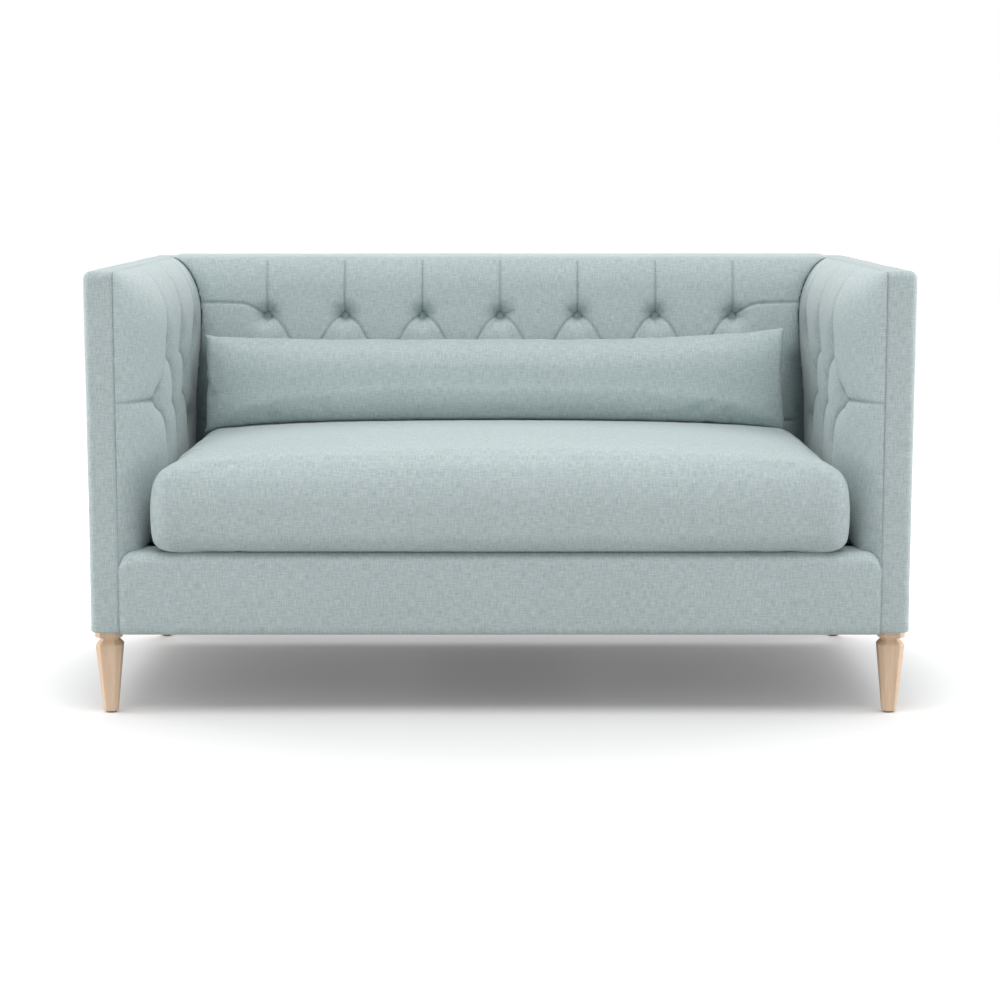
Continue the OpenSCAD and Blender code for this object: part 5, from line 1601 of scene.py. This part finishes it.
# zips
def makeZipDetail(name, node, clothPiece, body):
    # teeth on the coil, and a row of stitches in the cover on either side of it
    low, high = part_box(node)
    outward = zipFacing(node)
    across = outward.cross(Vector((1, 0, 0)))
    middle = (low + high) / 2
    span = (high.x - low.x) / 2
    top = max((Vector(v.co) - middle) @ outward for v in frame["nodes"][node].data.vertices)
    places = []
    for k in range(int(2 * span / coilZip["pitch"]) - 1):
        side = 1 if k % 2 else -1
        spot = Vector((low.x + coilZip["pitch"] * (k + 1), middle.y, middle.z))
        spot += outward * (top - coilZip["deep"])
        places.append(spot + across * (side * coilZip["half"] * 0.42))
    size = (coilZip["tooth"], 2 * coilZip["half"] * 0.62, coilZip["deep"] + coilZip["proud"])
    shape = softBox("toothShape", size, edge=0.0003)
    still = {"seed": 1, "spin": (0.0, 0.0)}
    facings = [outward] * len(places)
    piece = scatter(name + "Teeth", places, facings, shape, finishes["glide"], **still)
    bpy.data.objects.remove(shape)
    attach(piece, body)
    tree = BVHTree.FromObject(clothPiece, bpy.context.evaluated_depsgraph_get())
    places, facings = [], []
    for side in (-1, 1):
        for k in range(int(2 * span / coilZip["stitchPitch"]) - 1):
            want = Vector((low.x + coilZip["stitchPitch"] * (k + 1), middle.y, middle.z))
            want += across * (side * coilZip["stitchOut"])
            spot, normal = tree.find_nearest(want)[:2]
            places.append(spot - normal * coilZip["stitchSunk"])
            facings.append(normal)
    size = (coilZip["stitch"], coilZip["thread"], coilZip["thread"])
    shape = softBox("stitchShape", size, edge=0.00018)
    piece = scatter(name + "Stitches", places, facings, shape, upholstery, **still)
    bpy.data.objects.remove(shape)
    boxUv(piece)
    setPaintedShade(piece, np.zeros(len(piece.data.vertices)))
    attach(piece, body)


makeZipDetail("seatZip", "seat_zip", cushion, "seat_cushion")
makeZipDetail("pillowZip", "pillow_zip", pillow, "lumbar_pillow")
print("zips made")


# floor, world and lamps
studio = {
    "ambient": 0.575,
    "topLamp": 180,
    "sideLamp": 88,
    "rearLamp": 70,
    # painted light: a faint camera-only glow that lifts the shadow near the sofa
    "nearGlow": 0.060,
    "farGlow": 0.55,
    "glowFrom": 0.6,
    "glowTo": 1.6,
    "floor": 0.8,
    "bounce": 0.60,
    "floorHalf": 30,
}


def makeStage():
    reach = studio["floorHalf"]
    corners = [(-reach, -reach, 0), (reach, -reach, 0), (reach, reach, 0), (-reach, reach, 0)]
    floor = makePiece("floor", corners, [(0, 1, 2, 3)], smooth=False)
    material, tree, shader = newMaterial("studioFloor")
    shader.inputs["Roughness"].default_value = 1.0
    shader.inputs["Specular IOR Level"].default_value = 0.0
    # for the camera alone the floor glows: faintly near the sofa, which paints light into its
    # shadow, and out into white away from it
    place = addNode(tree, "ShaderNodeTexCoord")
    away = addNode(tree, "ShaderNodeVectorMath", operation="LENGTH")
    tree.links.new(place.outputs["Object"], away.inputs[0])
    spread = addNode(tree, "ShaderNodeMapRange", interpolation_type="SMOOTHSTEP")
    spread.inputs["From Min"].default_value = studio["glowFrom"]
    spread.inputs["From Max"].default_value = studio["glowTo"]
    spread.inputs["To Min"].default_value = studio["nearGlow"]
    spread.inputs["To Max"].default_value = studio["farGlow"]
    tree.links.new(away.outputs["Value"], spread.inputs["Value"])
    seen = addNode(tree, "ShaderNodeLightPath").outputs["Is Camera Ray"]
    pale, plain = (studio["floor"],) * 3, (studio["bounce"],) * 3
    tree.links.new(mixColour(tree, "MIX", seen, plain, pale), shader.inputs["Base Color"])
    glow = addNode(tree, "ShaderNodeEmission")
    strength = addMath(tree, "MULTIPLY", seen, spread.outputs[0])
    tree.links.new(strength, glow.inputs["Strength"])
    both = addNode(tree, "ShaderNodeAddShader")
    tree.links.new(shader.outputs[0], both.inputs[0])
    tree.links.new(glow.outputs[0], both.inputs[1])
    tree.links.new(both.outputs[0], tree.nodes["Material Output"].inputs["Surface"])
    floor.data.materials.append(material)


def makeWorld():
    # white to the camera and in reflections, and the softer ambient light for the rest
    world = bpy.data.worlds.new("studio")
    bpy.context.scene.world = world
    world.use_nodes = True
    tree = world.node_tree
    background = tree.nodes["Background"]
    background.inputs["Color"].default_value = (1, 1, 1, 1)
    rays = addNode(tree, "ShaderNodeLightPath")
    seen = addMath(tree, "MAXIMUM", rays.outputs["Is Camera Ray"], rays.outputs["Is Glossy Ray"])
    seen = addMath(tree, "MAXIMUM", seen, rays.outputs["Is Transmission Ray"])
    white = addMath(tree, "MULTIPLY", seen, 1 - studio["ambient"])
    strength = addMath(tree, "ADD", white, studio["ambient"])
    tree.links.new(strength, background.inputs["Strength"])


def addLamp(name, place, target, size, energy):
    data = bpy.data.lights.new(name, "AREA")
    data.shape = "RECTANGLE"
    data.size, data.size_y = size
    data.energy = energy
    lamp = bpy.data.objects.new(name, data)
    lamp.location = place
    aim = Vector(target) - Vector(place)
    lamp.rotation_euler = aim.to_track_quat("-Z", "Y").to_euler()
    bpy.context.scene.collection.objects.link(lamp)


makeStage()
makeWorld()
addLamp("topSoftbox", (0, -2.3, 5.5), (0, 0.0, 0.4), (6.5, 3.0), studio["topLamp"])
for name, side in (("leftSoftbox", -1), ("rightSoftbox", 1)):
    addLamp(name, (side * 4.2, 0.1, 0.75), (side * 0.5, 0.0, 0.0), (3.2, 0.7), studio["sideLamp"])
addLamp("rearSoftbox", (0, 3.3, 3.4), (0, 0.3, 0.0), (3.2, 0.9), studio["rearLamp"])
bpy.context.scene.view_settings.view_transform = "Standard"
